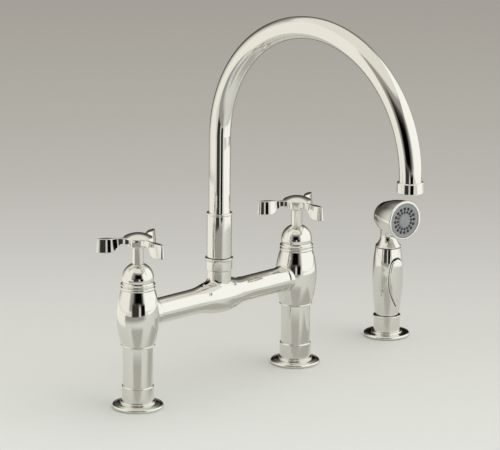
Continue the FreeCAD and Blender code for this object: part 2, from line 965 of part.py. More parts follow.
def spout():
    """Gooseneck: one tube, straight up, half round and down to the outlet."""
    foot = V(0, 0, sleeve_bottom + sleeve_floor)
    outer = Part.Face(Part.Wire(Part.makeCircle(spout_r, foot)))
    inner = Part.Face(Part.Wire(Part.makeCircle(spout_r - spout_wall, foot)))
    section = outer.cut(inner).Faces[0]
    rise = section.extrude(V(0, 0, bend_z - foot.z))
    at_bend = moved(section, z=bend_z - foot.z)
    bend = at_bend.revolve(V(0, -spout_bend_r, bend_z), V(1, 0, 0), 180)
    tail = moved(section, y=outlet_y, z=tail_z - foot.z).extrude(V(0, 0, spout_tail))
    return rise.fuse([bend, tail]).removeSplitter()


def aerator_low():
    return tail_z + aerator_socket - aerator_height


def aerator_shell():
    """Housing on the outlet, with small bevels, that holds the insert."""
    low = aerator_low()
    high = low + aerator_height
    shell = lathe([
        (insert_r + fit_gap, low),
        (aerator_r - aerator_edge, low),
        (aerator_r, low + aerator_edge),
        (aerator_r, high - aerator_edge),
        (aerator_r - aerator_edge, high),
        (spout_r + shape_gap, high),
        (spout_r + shape_gap, tail_z - aerator_washer_height),
        (insert_r + fit_gap, tail_z - aerator_washer_height),
    ])
    return moved(shell, y=outlet_y)


def aerator_insert():
    """Cup with a rounded screen that mixes air into the water."""
    low = aerator_low() + insert_set_back
    high = tail_z - aerator_washer_height - shape_gap
    cup_r = insert_r - insert_wall
    body = lathe([
        (0, low + insert_lip),
        (cup_r - insert_lip, low + insert_lip),
        (cup_r, low),
        (insert_r, low),
        (insert_r, high),
        (cup_r, high),
        (cup_r, low + insert_wall),
        (0, low + insert_wall),
    ])
    return moved(body, y=outlet_y)


def aerator_washer():
    low = tail_z - aerator_washer_height
    return moved(ring(insert_r - insert_wall, insert_r, low, tail_z), y=outlet_y)


# ------------------------------------------------------------------------------ sprayer


def on_sprayer(shape):
    """Take a shape from the sprayer's own axis, where it faces -Y, to its place on the deck."""
    shape = shape.copy()
    shape.rotate(V(0, 0, 0), V(0, 0, 1), sprayer_turn)
    shape.translate(V(sprayer_x, sprayer_y, 0))
    return shape


def holder_flange():
    return flange(holder_flange_r, holder_flange_height, holder_flange_step_r, holder_shank_r + fit_gap)


def holder():
    """Guide sleeve over the flange and the threaded shank that goes through the deck."""
    low = -holder_below
    seat = holder_flange_height
    top = seat + holder_height
    tail = tail_r + tail_gap
    return lathe([
        (tail, low),
        (holder_end_r - edge, low),
        (holder_end_r, low + edge),
        (holder_end_r, low + holder_end),
        (holder_shank_r, low + holder_end),
        (holder_shank_r, seat),
        (holder_r, seat),
        (holder_r, top - holder_lip - edge),
        (holder_lip_r, top - holder_lip),
        (holder_lip_r, top - edge),
        (holder_lip_r - edge, top),
        (tail + edge, top),
        (tail, top - edge),
    ])


def grip_outside(extra=0.0):
    """Side of the grip from foot to top: one long arc through the belly."""
    return [
        (grip_foot_r + extra, grip_foot_at),
        (grip_belly_r + extra, grip_belly_at, grip_top_r + extra, grip_top_at),
    ]


def leaf(grow, top_grow):
    """Prism of the lever's leaf outline, pointed below and round on top, out from the grip's axis."""
    tip = lever_tip_at - grow * 2
    wide = lever_half_width + grow
    shoulder = lever_shoulder_half + grow
    top = lever_top_at + top_grow
    low_mid = (wide * leaf_fullness, tip + (lever_widest_at - tip) * leaf_fullness_at)
    high_mid = ((wide + shoulder) / 2 + leaf_bulge, (lever_widest_at + lever_shoulder_at) / 2)
    path = [
        (0, tip),
        (low_mid[0], low_mid[1], wide, lever_widest_at),
        (high_mid[0], high_mid[1], shoulder, lever_shoulder_at),
        (0, top, -shoulder, lever_shoulder_at),
        (-high_mid[0], high_mid[1], -wide, lever_widest_at),
        (-low_mid[0], low_mid[1], 0, tip),
    ]
    edges = []
    last = path[0]
    for point in path[1:]:
        start = V(last[-2], 0, last[-1])
        edges.append(Part.Arc(start, V(point[0], 0, point[1]), V(point[2], 0, point[3])).toShape())
        last = point
    return Part.Face(Part.Wire(edges)).extrude(V(0, -2 * grip_belly_r, 0))


def grip_core(extra):
    """The grip's outer form, grown or shrunk, as a plain solid from its axis."""
    return lathe([(0, grip_foot_at)] + grip_outside(extra) + [(0, grip_top_at)])


def grip():
    """Hollow grip with its tail, the lever's pocket, the pin's holes and the valve's bore."""
    body = lathe([
        (water_r, grip_floor_z),
        (tail_r - edge, grip_floor_z),
        (tail_r, grip_floor_z + edge),
        (tail_r, grip_foot_at - grip_foot),
        (grip_foot_r - edge, grip_foot_at - grip_foot),
        (grip_foot_r, grip_foot_at - grip_foot + edge),
    ] + grip_outside() + [(water_r, grip_top_at)])
    sweep = (lever_top_at - pin_at) * math.sin(math.radians(lever_travel))
    depth = lever_thickness - lever_proud + sweep + free_gap
    body = body.cut(leaf(lever_gap, lever_notch).cut(grip_core(-depth)))
    slot = rod_x(lug_r + free_gap, -lug_half - free_gap, lug_half + free_gap)
    body = body.cut(moved(slot, y=-pin_ahead, z=pin_at))
    pin_hole = rod_x(pin_r + pin_grip, -pin_half - fit_gap, pin_half + fit_gap)
    body = body.cut(moved(pin_hole, y=-pin_ahead, z=pin_at))
    return body.cut(moved(rod_front(plunger_r + running_gap, 0, grip_belly_r), z=plunger_at))


def lever():
    """Leaf-shaped lever that follows the grip's surface, with a lug bored for its pin."""
    plate = leaf(0, 0).common(grip_core(lever_proud)).cut(grip_core(lever_proud - lever_thickness))
    lug = moved(rod_x(lug_r, -lug_half, lug_half), y=-pin_ahead, z=pin_at)
    web_high = 2 * lug_r
    web = Part.makeBox(2 * lug_half, grip_belly_r - pin_ahead, web_high)
    web.translate(V(-lug_half, -grip_belly_r, pin_at - lug_r))
    web = web.common(grip_core(0))
    body = plate.fuse([lug, web]).removeSplitter()
    return body.cut(moved(rod_x(pin_r + running_gap, -lug_half, lug_half), y=-pin_ahead, z=pin_at))


def lever_pin():
    return moved(rod_x(pin_r, -pin_half, pin_half), y=-pin_ahead, z=pin_at)


def lever_inside_at_plunger():
    """Distance of the lever's inner face from the grip's axis at the plunger's height."""
    probe = Part.makeLine(V(0, 0, plunger_at), V(0, -2 * grip_belly_r, plunger_at))
    return probe.common(grip_core(lever_proud - lever_thickness)).Length


def plunger():
    """Valve plunger: its round end stops just short of the lever."""
    end = lever_inside_at_plunger() - face_gap
    start = plunger_tail
    body = lathe([
        (0, start),
        (plunger_r, start),
        (plunger_r, end - plunger_crown),
        crown(plunger_r, end - plunger_crown, end),
    ])
    return moved(towards_sink(body), z=plunger_at)


def valve_spring():
    """Coil that pushes the plunger and the lever out, of square wire."""
    start = spring_wire - water_r
    length = plunger_tail - start - spring_wire - fit_gap
    pitch = length / spring_turns
    helix = Part.makeHelix(pitch, length, spring_r - spring_wire)
    w = spring_wire / 2
    r = spring_r - spring_wire
    corners = [V(r - w, 0, -w), V(r + w, 0, -w), V(r + w, 0, w), V(r - w, 0, w), V(r - w, 0, -w)]
    coil = Part.Wire(helix).makePipeShell([Part.makePolygon(corners)], True, True)
    coil = towards_sink(moved(coil, z=start + w))
    return moved(coil, z=plunger_at)


def head():
    """Head with its skirt and throat, and the bell that opens from a ball to the spray face."""
    skirt_low = grip_top_at + skirt_gap
    side_low = V(skirt_r, 0, skirt_low + skirt_edge)
    side_high = V(throat_r, 0, throat_at)
    inwards = (side_high - side_low).cross(V(0, 1, 0)).normalize()
    side_middle = (side_low + side_high) / 2 + inwards * skirt_hollow
    neck = lathe([
        (0, skirt_low),
        (skirt_r, skirt_low),
        (skirt_r, skirt_low + skirt_edge),
        (side_middle.x, side_middle.z, throat_r, throat_at),
        (throat_r, head_at - ball_r / 4),
        (0, head_at - ball_r / 4),
    ])
    front = face_ahead - bezel_depth
    turn = math.radians(bell_from)
    ball_start = ball_r * math.cos(turn)
    ball_top = ball_r * math.sin(turn)
    bell = lathe([
        (0, front),
        (bell_front_r, front),
        (bell_middle_r, (front - ball_start) / 2 - bell_middle_back, ball_top, -ball_start),
        (ball_r * math.sin(turn / 2), -ball_r * math.cos(turn / 2), 0, -ball_r),
    ])
    body = moved(towards_sink(bell), z=head_at).fuse(neck).removeSplitter()
    inside = face_ahead - face_set_back - face_depth - chamber_depth
    body = body.cut(moved(rod_front(bezel_r - bezel_width - face_step, inside, front + 1), z=head_at))
    body = body.cut(moved(rod_front(water_r, 0, inside + 1), z=head_at))
    body = body.cut(rod(water_r, skirt_low, head_at))
    return body.fuse(ring(water_r, grip_top_r - head_seat, grip_top_at, skirt_low)).removeSplitter()


def bezel():
    """Bright ring round the spray face."""
    back = face_ahead - bezel_depth
    inner = bezel_r - bezel_width
    body = lathe([
        (inner, back),
        (bezel_r - bezel_round / 3, back),
        (bezel_r, back + bezel_depth / 2, bezel_r - bezel_round, face_ahead),
        (inner + edge, face_ahead),
        (inner, face_ahead - edge),
    ])
    return moved(towards_sink(body), z=head_at)


def spray_face():
    """Plate of the spray face, with the shallow step round its smooth centre."""
    front = face_ahead - face_set_back
    back = front - face_depth
    r = bezel_r - bezel_width - fit_gap
    back_r = r - face_step
    body = lathe([
        (0, back),
        (back_r, back),
        (back_r, face_ahead - bezel_depth),
        (r, face_ahead - bezel_depth),
        (r, front),
        (button_r, front),
        (button_r - edge, front + button_height),
        (0, front + button_height),
    ])
    return moved(towards_sink(body), z=head_at)


def hose_coupling():
    """Coupling under the grip: a peg that turns in the grip and a barb for the hose."""
    top = grip_floor_z - face_gap
    peg_r = water_r - running_gap
    low = top - coupling_height
    end = low - barb_length
    return lathe([
        (hose_bore_r, end),
        (barb_r - barb_taper / 3, end),
        (barb_r, end + barb_taper),
        (barb_r, low),
        (coupling_r - edge, low),
        (coupling_r, low + edge),
        (coupling_r, top - edge),
        (coupling_r - edge, top),
        (peg_r, top),
        (peg_r, grip_floor_z + coupling_peg),
        (hose_bore_r, grip_floor_z + coupling_peg),
    ])


# ------------------------------------------------------------------------------ nodes

nodes = {}
for side_name, side in (("left", -1), ("right", 1)):
    x = side * column_x
    pieces = {
        "deck_flange": column_flange(),
        "base_ring": base_ring(),
        "leg_tube": leg(),
        "threaded_shank": shank(),
        "valve_body": valve_body(-side),
        "bonnet": bonnet(),
        "cartridge": cartridge(),
        "fixed_disc": disc(disc_seat, 0),
        "moving_disc": disc(disc_mate, 90),
        "seat_seal": seat_seal(),
        "stem": stem(),
        "handle": handle(),
        "handle_cap": handle_cap(),
        "handle_screw": handle_screw(),
    }
    for name, shape in pieces.items():
        nodes[side_name + "_" + name] = moved(shape, x=x)


def pair(shape):
    """The same piece on both columns, as one group."""
    return Part.Compound([moved(shape, x=-column_x), moved(shape, x=column_x)])


nodes["deck_gaskets"] = pair(ring(gasket_inner_r, gasket_outer_r, 0, gasket_height - 0.1))
nodes["deck_washers"] = pair(deck_washer(thread_r + fit_gap * 2, washer_r))
nodes["lock_nuts"] = pair(lock_nut(nut_flats, thread_r + fit_gap))
nodes["stem_packings"] = pair(stem_packing())
nodes["bridge"] = bridge()
nodes["bridge_o_rings"] = bridge_rings()
nodes["grub_screw"] = grub_screw()
nodes["diverter_seat"] = diverter_seat()
nodes["diverter_piston"] = diverter_piston()
nodes["spout_collar"] = spout_collar()
nodes["spout_bush"] = spout_bush()
nodes["spout_sleeve"] = spout_sleeve()
nodes["spout_o_rings"] = spout_rings()
nodes["spout_clip"] = spout_clip()
nodes["spout"] = spout()
nodes["aerator_shell"] = aerator_shell()
nodes["aerator_insert"] = aerator_insert()
nodes["aerator_washer"] = aerator_washer()

sprayer_pieces = {
    "holder_flange": holder_flange(),
    "holder_gasket": ring(holder_gasket_inner_r, gasket_outer_r - 0.9, 0, gasket_height - 0.1),
    "sprayer_holder": holder(),
    "holder_washer": deck_washer(holder_shank_r + fit_gap * 2, washer_r + 2),
    "holder_nut": lock_nut(holder_nut_flats, holder_shank_r + fit_gap),
    "hose_coupling": hose_coupling(),
    "sprayer_grip": grip(),
    "sprayer_head": head(),
    "spray_bezel": bezel(),
    "spray_face": spray_face(),
    "spray_lever": lever(),
    "lever_pin": lever_pin(),
    "valve_plunger": plunger(),
    "valve_spring": valve_spring(),
}
for name, shape in sprayer_pieces.items():
    nodes[name] = on_sprayer(shape)

os.makedirs("parts", exist_ok=True)
for name, shape in nodes.items():
    shape.exportStep("parts/" + name + ".step")
    solids = len(shape.Solids)
    print(name, "solids", solids, "valid", shape.isValid(), "volume", round(shape.Volume, 1))
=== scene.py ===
import json
import logging
import math
from dataclasses import dataclass, field
from enum import Enum
from typing import Callable, Optional, Sequence

import bmesh
import bpy
from mathutils import Matrix, Vector


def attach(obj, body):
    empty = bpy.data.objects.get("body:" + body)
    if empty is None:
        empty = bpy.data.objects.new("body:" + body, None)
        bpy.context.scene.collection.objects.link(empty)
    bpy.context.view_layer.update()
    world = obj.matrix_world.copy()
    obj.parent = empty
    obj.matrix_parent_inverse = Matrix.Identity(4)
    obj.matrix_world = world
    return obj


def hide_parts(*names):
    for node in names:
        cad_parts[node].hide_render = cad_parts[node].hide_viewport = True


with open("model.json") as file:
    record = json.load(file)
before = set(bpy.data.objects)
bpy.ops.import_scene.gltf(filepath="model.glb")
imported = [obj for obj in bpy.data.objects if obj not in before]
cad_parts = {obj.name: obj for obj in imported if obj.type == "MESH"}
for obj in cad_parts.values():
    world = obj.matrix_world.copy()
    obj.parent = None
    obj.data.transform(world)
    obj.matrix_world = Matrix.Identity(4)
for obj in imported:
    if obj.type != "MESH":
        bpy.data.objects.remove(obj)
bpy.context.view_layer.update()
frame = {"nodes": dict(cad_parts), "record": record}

# A bridge kitchen faucet with its side sprayer, on a pale studio floor.
# Lengths are millimetres in the classes below and become metres in Shape.to_object().

LOG = logging.getLogger("faucet")
MM = 0.001
COLUMN_X = 101.6         # the columns stand 8 in apart
BRIDGE_Z = 84.0
THREAD_PITCH = 1.814     # 14 threads to the inch
ROUND_STEP_DEG = 20      # a smaller corner is left as it is, and a rounding has a point for each
LONGEST_CUT = 0.4        # share of a side that the rounding of a corner may take
HOLD, HOLD_SHARE = 0.12, 0.05    # where a side is held beside a rounding, and its share of the side
SHARP_DEG = 40.0         # an edge that turns more stays sharp
WELD_M = 2e-7            # points closer than this are one
Pair = tuple[float, float]


class Slot(Enum):
    """Material slots of the record."""

    NICKEL = "polished_nickel"
    BRASS = "brass"
    STEEL = "steel"
    RUBBER = "rubber"
    CERAMIC = "ceramic"
    ACETAL = "acetal"
    PLASTIC = "grey_plastic"


# -------- outlines


def circle_through(start: Pair, middle: Pair, end: Pair) -> tuple[float, float, float]:
    """Find the circle through three points.

    Args:
        start: First point.
        middle: Second point.
        end: Third point.

    Returns:
        The two places of its centre, and its radius.
    """
    (ax, ay), (bx, by), (cx, cy) = start, middle, end
    double = 2 * (ax * (by - cy) + bx * (cy - ay) + cx * (ay - by))
    a2, b2, c2 = ax * ax + ay * ay, bx * bx + by * by, cx * cx + cy * cy
    x = (a2 * (by - cy) + b2 * (cy - ay) + c2 * (ay - by)) / double
    y = (a2 * (cx - bx) + b2 * (ax - cx) + c2 * (bx - ax)) / double
    return x, y, math.hypot(ax - x, ay - y)


def arc(start: Pair, middle: Pair, end: Pair, steps: int = 10) -> list[Pair]:
    """Sample the arc through three points.

    Args:
        start: Where the arc starts; it isn't repeated in the result.
        middle: A point on the arc.
        end: Where the arc ends.
        steps: How many points to give back.

    Returns:
        Points along the arc, the last of them at its end.
    """
    x, y, bend = circle_through(start, middle, end)
    first, between, last = (math.atan2(v - y, u - x) for u, v in (start, middle, end))
    turn = (last - first) % math.tau
    if (between - first) % math.tau > turn:
        turn -= math.tau
    angles = [first + turn * i / steps for i in range(1, steps + 1)]
    return [(x + bend * math.cos(a), y + bend * math.sin(a)) for a in angles]


def barrel(r0: float, z0: float, r1: float, z1: float, steps: int = 16) -> list[Pair]:
    """Arc that starts upright at a barrel's widest line and ends at another point.

    Args:
        r0: Radius of the widest line.
        z0: Its height.
        r1: Radius at the end.
        z1: Height at the end.
        steps: Points on the arc.

    Returns:
        Points from just after the widest line to the end.
    """
    dr, dz = r0 - r1, z1 - z0
    bend = (dr * dr + dz * dz) / (2 * dr)
    half = math.asin(dz / bend) / 2
    middle = (r0 - bend * (1 - math.cos(half)), z0 + bend * math.sin(half))
    return arc((r0, z0), middle, (r1, z1), steps)


def crown(r: float, z: float, top: float, steps: int = 14) -> list[Pair]:
    """Arc from a rim up to the axis, as a lens has it.

    Args:
        r: Radius of the rim.
        z: Height of the rim.
        top: Height on the axis.
        steps: Points on the arc.

    Returns:
        Points from just after the rim to the axis.
    """
    rise = top - z
    bend = (r * r + rise * rise) / (2 * rise)
    half = math.asin(r / bend) / 2
    middle = (bend * math.sin(half), top - bend * (1 - math.cos(half)))
    return arc((r, z), middle, (0.0, top), steps)


def ease(share: float) -> float:
    """Smooth step, from nothing at 0 and below to one at 1 and above."""
    share = min(max(share, 0.0), 1.0)
    return share * share * (3 - 2 * share)


def soften(path: Sequence[Pair], round_mm: float, closed: bool) -> list[Pair]:
    """Round each corner of an outline, with a point held close on either side of the rounding.

    Args:
        path: The outline's points.
        round_mm: Radius of the rounding.
        closed: Whether the last point joins the first.

    Returns:
        The outline with rounded corners.
    """
    result: list[Pair] = []
    count = len(path)
    for i, point in enumerate(path):
        if not closed and i in (0, count - 1):
            result.append(point)
            continue
        corner = Vector(point)
        back, on = Vector(path[i - 1]) - corner, Vector(path[(i + 1) % count]) - corner
        turn = math.pi - back.angle(on)
        if turn < math.radians(ROUND_STEP_DEG):
            result.append(point)
            continue
        cut = min(round_mm * math.tan(turn / 2), LONGEST_CUT * back.length, LONGEST_CUT * on.length)
        start, end = corner + back.normalized() * cut, corner + on.normalized() * cut
        hold = min(HOLD, cut)
        result.append(tuple(start + back.normalized() * min(hold, HOLD_SHARE * back.length)))
        weight = math.cos(turn / 2)
        steps = max(2, round(math.degrees(turn) / ROUND_STEP_DEG))
        for k in range(steps + 1):
            t = k / steps
            a, b, c = (1 - t) ** 2, 2 * weight * t * (1 - t), t * t
            result.append(tuple((start * a + corner * b + end * c) / (a + b + c)))
        result.append(tuple(end + on.normalized() * min(hold, HOLD_SHARE * on.length)))
    return result


# -------- shapes


def new_object(name: str, data: bpy.types.ID) -> bpy.types.Object:
    """Make an object in the scene from a mesh, a lamp or a camera."""
    made = bpy.data.objects.new(name, data)
    bpy.context.scene.collection.objects.link(made)
    return made


def keep_result(piece: bpy.types.Object) -> bpy.types.Mesh:
    """Replace an object's mesh by what its modifiers make of it.

    Args:
        piece: The object, which has no modifiers left afterwards.

    Returns:
        Its new mesh.
    """
    bpy.context.view_layer.update()
    shown = piece.evaluated_get(bpy.context.evaluated_depsgraph_get())
    mesh = bpy.data.meshes.new_from_object(shown)
    piece.modifiers.clear()
    piece.data = mesh
    mesh.name = piece.name
    return mesh


@dataclass
class Shape:
    """Points in millimetres and the faces between them."""

    points: list[Vector] = field(default_factory=list)
    faces: list[tuple[int, ...]] = field(default_factory=list)

    def moved(self, matrix: Matrix) -> "Shape":
        """Give back a copy with every point moved by a matrix."""
        return Shape([matrix @ p for p in self.points], list(self.faces))

    def at(self, x: float = 0.0, y: float = 0.0) -> "Shape":
        """Give back a copy shifted sideways."""
        return self.moved(Matrix.Translation((x, y, 0)))

    def __add__(self, other: "Shape") -> "Shape":
        """Join two shapes, which stay separate shells."""
        shift = len(self.points)
        faces = [tuple(i + shift for i in face) for face in other.faces]
        return Shape(self.points + other.points, self.faces + faces)

    def add_loop(self, loop: Sequence[Vector]) -> list[int]:
        """Add points and give back their numbers."""
        first = len(self.points)
        self.points.extend(loop)
        return list(range(first, first + len(loop)))

    def bridge(self, one: Sequence[int], other: Sequence[int], closed: bool = True) -> None:
        """Fill the band between two loops of equal length.

        Args:
            one: Point numbers of the first loop.
            other: Point numbers of the second loop.
            closed: Whether the loops return to their start.
        """
        count = len(one)
        for i in range(count if closed else count - 1):
            j = (i + 1) % count
            self.faces.append((one[i], one[j], other[j], other[i]))

    def grow(self, last: Sequence[int], loop: Sequence[Vector]) -> list[int]:
        """Add a loop of points and fill the band up to it.

        Args:
            last: Point numbers of the loop before it.
            loop: The new points.

        Returns:
            The new points' numbers.
        """
        now = self.add_loop(loop)
        self.bridge(last, now)
        return now

    def close(self, loop: Sequence[int]) -> None:
        """Close a loop of points with one flat face."""
        self.faces.append(tuple(loop))

    def to_object(self, name: str, material: bpy.types.Material) -> bpy.types.Object:
        """Make a clean, smooth-shaded mesh object in metres.

        Args:
            name: The piece's name.
            material: Its finish.

        Returns:
            The object, at the origin.
        """
        mesh = bpy.data.meshes.new(name)
        mesh.from_pydata([p * MM for p in self.points], [], self.faces)
        work = bmesh.new()
        work.from_mesh(mesh)
        bmesh.ops.remove_doubles(work, verts=work.verts, dist=WELD_M)
        bmesh.ops.recalc_face_normals(work, faces=work.faces)
        work.to_mesh(mesh)
        work.free()
        mesh.shade_smooth()
        mesh.set_sharp_from_angle(angle=math.radians(SHARP_DEG))
        mesh.materials.append(material)
        return new_object(name, mesh)


def turned(path: Sequence[Pair], round_mm: float = 0.3, steps: int = 112) -> Shape:
    """Turn an outline about the Z axis; it is closed on itself, or ends on the axis.

    Args:
        path: Points of (radius, height).
        round_mm: Radius given to its corners.
        steps: Points round the axis.

    Returns:
        A closed shape.
    """
    on_axis = path[0][0] == 0 and path[-1][0] == 0
    outline = soften(path, round_mm, closed=not on_axis)
    shape = Shape()
    rows: list[list[int]] = []
    for r, z in outline:
        if r < 1e-6:
            rows.append(shape.add_loop([Vector((0, 0, z))]) * steps)
            continue
        angles = [math.tau * i / steps for i in range(steps)]
        rows.append(shape.add_loop([Vector((r * math.cos(a), r * math.sin(a), z)) for a in angles]))
    pairs = list(zip(rows, rows[1:]))
    if not on_axis:
        pairs.append((rows[-1], rows[0]))
    for low, high in pairs:
        for i in range(steps):
            j = (i + 1) % steps
            face = [low[i], low[j], high[j], high[i]]
            face = [n for k, n in enumerate(face) if n != face[k - 1]]
            if len(face) > 2:
                shape.faces.append(tuple(face))
    return shape


@dataclass
class PiercedSkin:
    """A skin round an axis with one shaped hole, as a grid that opens into a ring of faces.

    Attributes:
        surface: Point of the skin for an angle and a station.
        angles: Angles round the axis, from -pi up to, but without, pi.
        stations: Places along the axis.
        window: First and last angle and first and last station of the grid's open window.
        hole: Angle and station of the hole's edge for a bearing from the window's middle.
        rings: Bands of faces between window and hole.
    """

    surface: Callable[[float, float], Vector]
    angles: list[float]
    stations: list[float]
    window: tuple[int, int, int, int]
    hole: Callable[[float], Pair]
    rings: int

    def build(self) -> tuple[Shape, list[int], list[float]]:
        """Make the skin.

        Returns:
            The open shape, the point numbers of the hole's edge, and their bearings.
        """
        shape = Shape()
        count = len(self.angles)
        for station in self.stations:
            shape.add_loop([self.surface(a, station) for a in self.angles])
        a0, a1, s0, s1 = self.window
        for j in range(len(self.stations) - 1):
            for i in range(count):
                if a0 <= i < a1 and s0 <= j < s1:
                    continue
                k = (i + 1) % count
                row, above = j * count, (j + 1) * count
                shape.faces.append((row + i, row + k, above + k, above + i))
        walk = [(i, s0) for i in range(a0, a1)] + [(a1, j) for j in range(s0, s1)]
        walk += [(i, s1) for i in range(a1, a0, -1)] + [(a0, j) for j in range(s1, s0, -1)]
        spots = [(self.angles[i], self.stations[j]) for i, j in walk]
        (mid_a, half_a), (mid_s, half_s) = (
            ((row[high] + row[low]) / 2, (row[high] - row[low]) / 2)
            for row, low, high in ((self.angles, a0, a1), (self.stations, s0, s1)))
        bearings = [math.atan2((s - mid_s) / half_s, (a - mid_a) / half_a) for a, s in spots]
        edge = [self.hole(b) for b in bearings]
        last = [j * count + i for i, j in walk]
        for ring in range(1, self.rings + 1):
            t = ring / self.rings
            last = shape.grow(last, [self.surface(a + (hole_a - a) * t, s + (hole_s - s) * t)
                                     for (a, s), (hole_a, hole_s) in zip(spots, edge)])
        return shape, last, bearings


def even_angles(count: int) -> list[float]:
    """Angles from -pi round to just before pi."""
    return [-math.pi + math.tau * i / count for i in range(count)]


# -------- node trees


def add(
    tree: bpy.types.NodeTree,
    kind: str,
    links: Optional[dict] = None,
    values: Optional[dict] = None,
    **settings: object,
) -> bpy.types.Node:
    """Add a node to a tree.

    Args:
        tree: The tree.
        kind: Blender's name of the node's type.
        links: Input socket to the output socket that feeds it.
        values: Input socket to its plain value.
        **settings: The node's own settings.

    Returns:
        The new node.
    """
    node = tree.nodes.new(kind)
    for key, value in settings.items():
        setattr(node, key, value)
    for key, value in (values or {}).items():
        node.inputs[key].default_value = value
    for key, source in (links or {}).items():
        tree.links.new(source, node.inputs[key])
    return node


def bare_tree(owner: bpy.types.ID) -> bpy.types.NodeTree:
    """Give back the emptied node tree of a material or a world."""
    owner.use_nodes = True
    owner.node_tree.nodes.clear()
    return owner.node_tree


def linear(hex_colour: str) -> tuple[float, float, float, float]:
    """Turn an sRGB hex colour into linear light.

    Args:
        hex_colour: Six hex digits after a hash sign.

    Returns:
        Red, green, blue and an alpha of one.
    """
    parts = [int(hex_colour[i:i + 2], 16) / 255 for i in (1, 3, 5)]
    red, green, blue = [p / 12.92 if p <= 0.04045 else ((p + 0.055) / 1.055) ** 2.4 for p in parts]
    return red, green, blue, 1.0


@dataclass(frozen=True)
class Finish:
    """A surface finish, from what the material is and how it was worked.

    Attributes:
        name: Common name of the material.
        colour: Main colour.
        second: Colour it drifts to in faint patches.
        metallic: One for metals.
        roughness: Mean roughness.
        roughness_drift: How far patches and handling change the roughness.
        patch_mm: Size of the patches.
        grain_mm: Spacing of the fine relief.
        grain_height_mm: Height of the fine relief.
        stretch: How much longer the grain is along Z, as a lathe or a buff leaves it.
    """

    name: str
    colour: str
    second: str
    metallic: float
    roughness: float
    roughness_drift: float
    patch_mm: float
    grain_mm: float
    grain_height_mm: float
    stretch: float = 1.0

    def material(self) -> bpy.types.Material:
        """Build the finish as a material on Object coordinates."""
        material = bpy.data.materials.new(self.name)
        tree = bare_tree(material)
        place = add(tree, "ShaderNodeTexCoord").outputs["Object"]
        patches = add(tree, "ShaderNodeTexNoise", {"Vector": place},
                      {"Scale": 1 / (self.patch_mm * MM), "Detail": 3.0, "Roughness": 0.55})
        blend = add(tree, "ShaderNodeMix", {"Factor": patches.outputs["Fac"]}, data_type="RGBA")
        blend.inputs["A"].default_value = linear(self.colour)
        blend.inputs["B"].default_value = linear(self.second)
        gloss = add(tree, "ShaderNodeMapRange", {"Value": patches.outputs["Fac"]},
                    {"From Min": 0.3, "From Max": 0.7, "To Min": self.roughness - self.roughness_drift,
                     "To Max": self.roughness + self.roughness_drift})
        along = add(tree, "ShaderNodeMapping", {"Vector": place}, {"Scale": (1.0, 1.0, 1 / self.stretch)})
        grain = add(tree, "ShaderNodeTexNoise", {"Vector": along.outputs["Vector"]},
                    {"Scale": 1 / (self.grain_mm * MM), "Detail": 2.0})
        bump = add(tree, "ShaderNodeBump", {"Height": grain.outputs["Fac"]},
                   {"Strength": 1.0, "Distance": self.grain_height_mm * MM})
        skin = add(tree, "ShaderNodeBsdfPrincipled",
                   {"Base Color": blend.outputs["Result"], "Roughness": gloss.outputs["Result"],
                    "Normal": bump.outputs["Normal"]}, {"Metallic": self.metallic})
        add(tree, "ShaderNodeOutputMaterial", {"Surface": skin.outputs["BSDF"]})
        return material


FINISHES = {
    # Nickel plate buffed to a mirror: warm silver, a faint ripple from the buffing wheel.
    Slot.NICKEL: Finish("polished_nickel", "#E8E7E2", "#E5E4DF", 1.0, 0.035, 0.012, 30.0, 9.0, 0.0012),
    # Machined brass: yellow, with fine turning marks.
    Slot.BRASS: Finish("machined_brass", "#D8B46A", "#CBA357", 1.0, 0.24, 0.05, 8.0, 0.35, 0.004, 0.2),
    # Drawn stainless steel of screws, spring and clip: grey, with marks along the wire.
    Slot.STEEL: Finish("drawn_stainless_steel", "#C2C1BD", "#B4B2AE", 1.0, 0.3, 0.05, 6.0, 0.3, 0.003, 4.0),
    # Moulded nitrile rubber: matt black with a fine spark-eroded grain.
    Slot.RUBBER: Finish("moulded_nitrile_rubber", "#26262A", "#2E2E31", 0.0, 0.62, 0.06, 5.0, 0.5, 0.01),
    # Lapped alumina of the valve's discs: cream white, with an even half gloss.
    Slot.CERAMIC: Finish("lapped_alumina", "#EFEAE0", "#E6E0D4", 0.0, 0.22, 0.04, 6.0, 0.3, 0.002),
    # Turned acetal of the spout's bush: waxy white.
    Slot.ACETAL: Finish("turned_acetal", "#E9E7DF", "#E1DED5", 0.0, 0.42, 0.05, 8.0, 0.3, 0.004, 0.2),
    # Moulded blue-grey plastic of the spray plate: satin, with a fine grain.
    Slot.PLASTIC: Finish("moulded_grey_plastic", "#9C9EA1", "#95979B", 0.0, 0.36, 0.05, 6.0, 0.35, 0.008),
}


@dataclass
class TreeStep:
    """A node tree and its inputs: lengths are floats in millimetres, counts whole numbers."""

    tree: bpy.types.NodeTree
    inputs: dict[str, float | int]


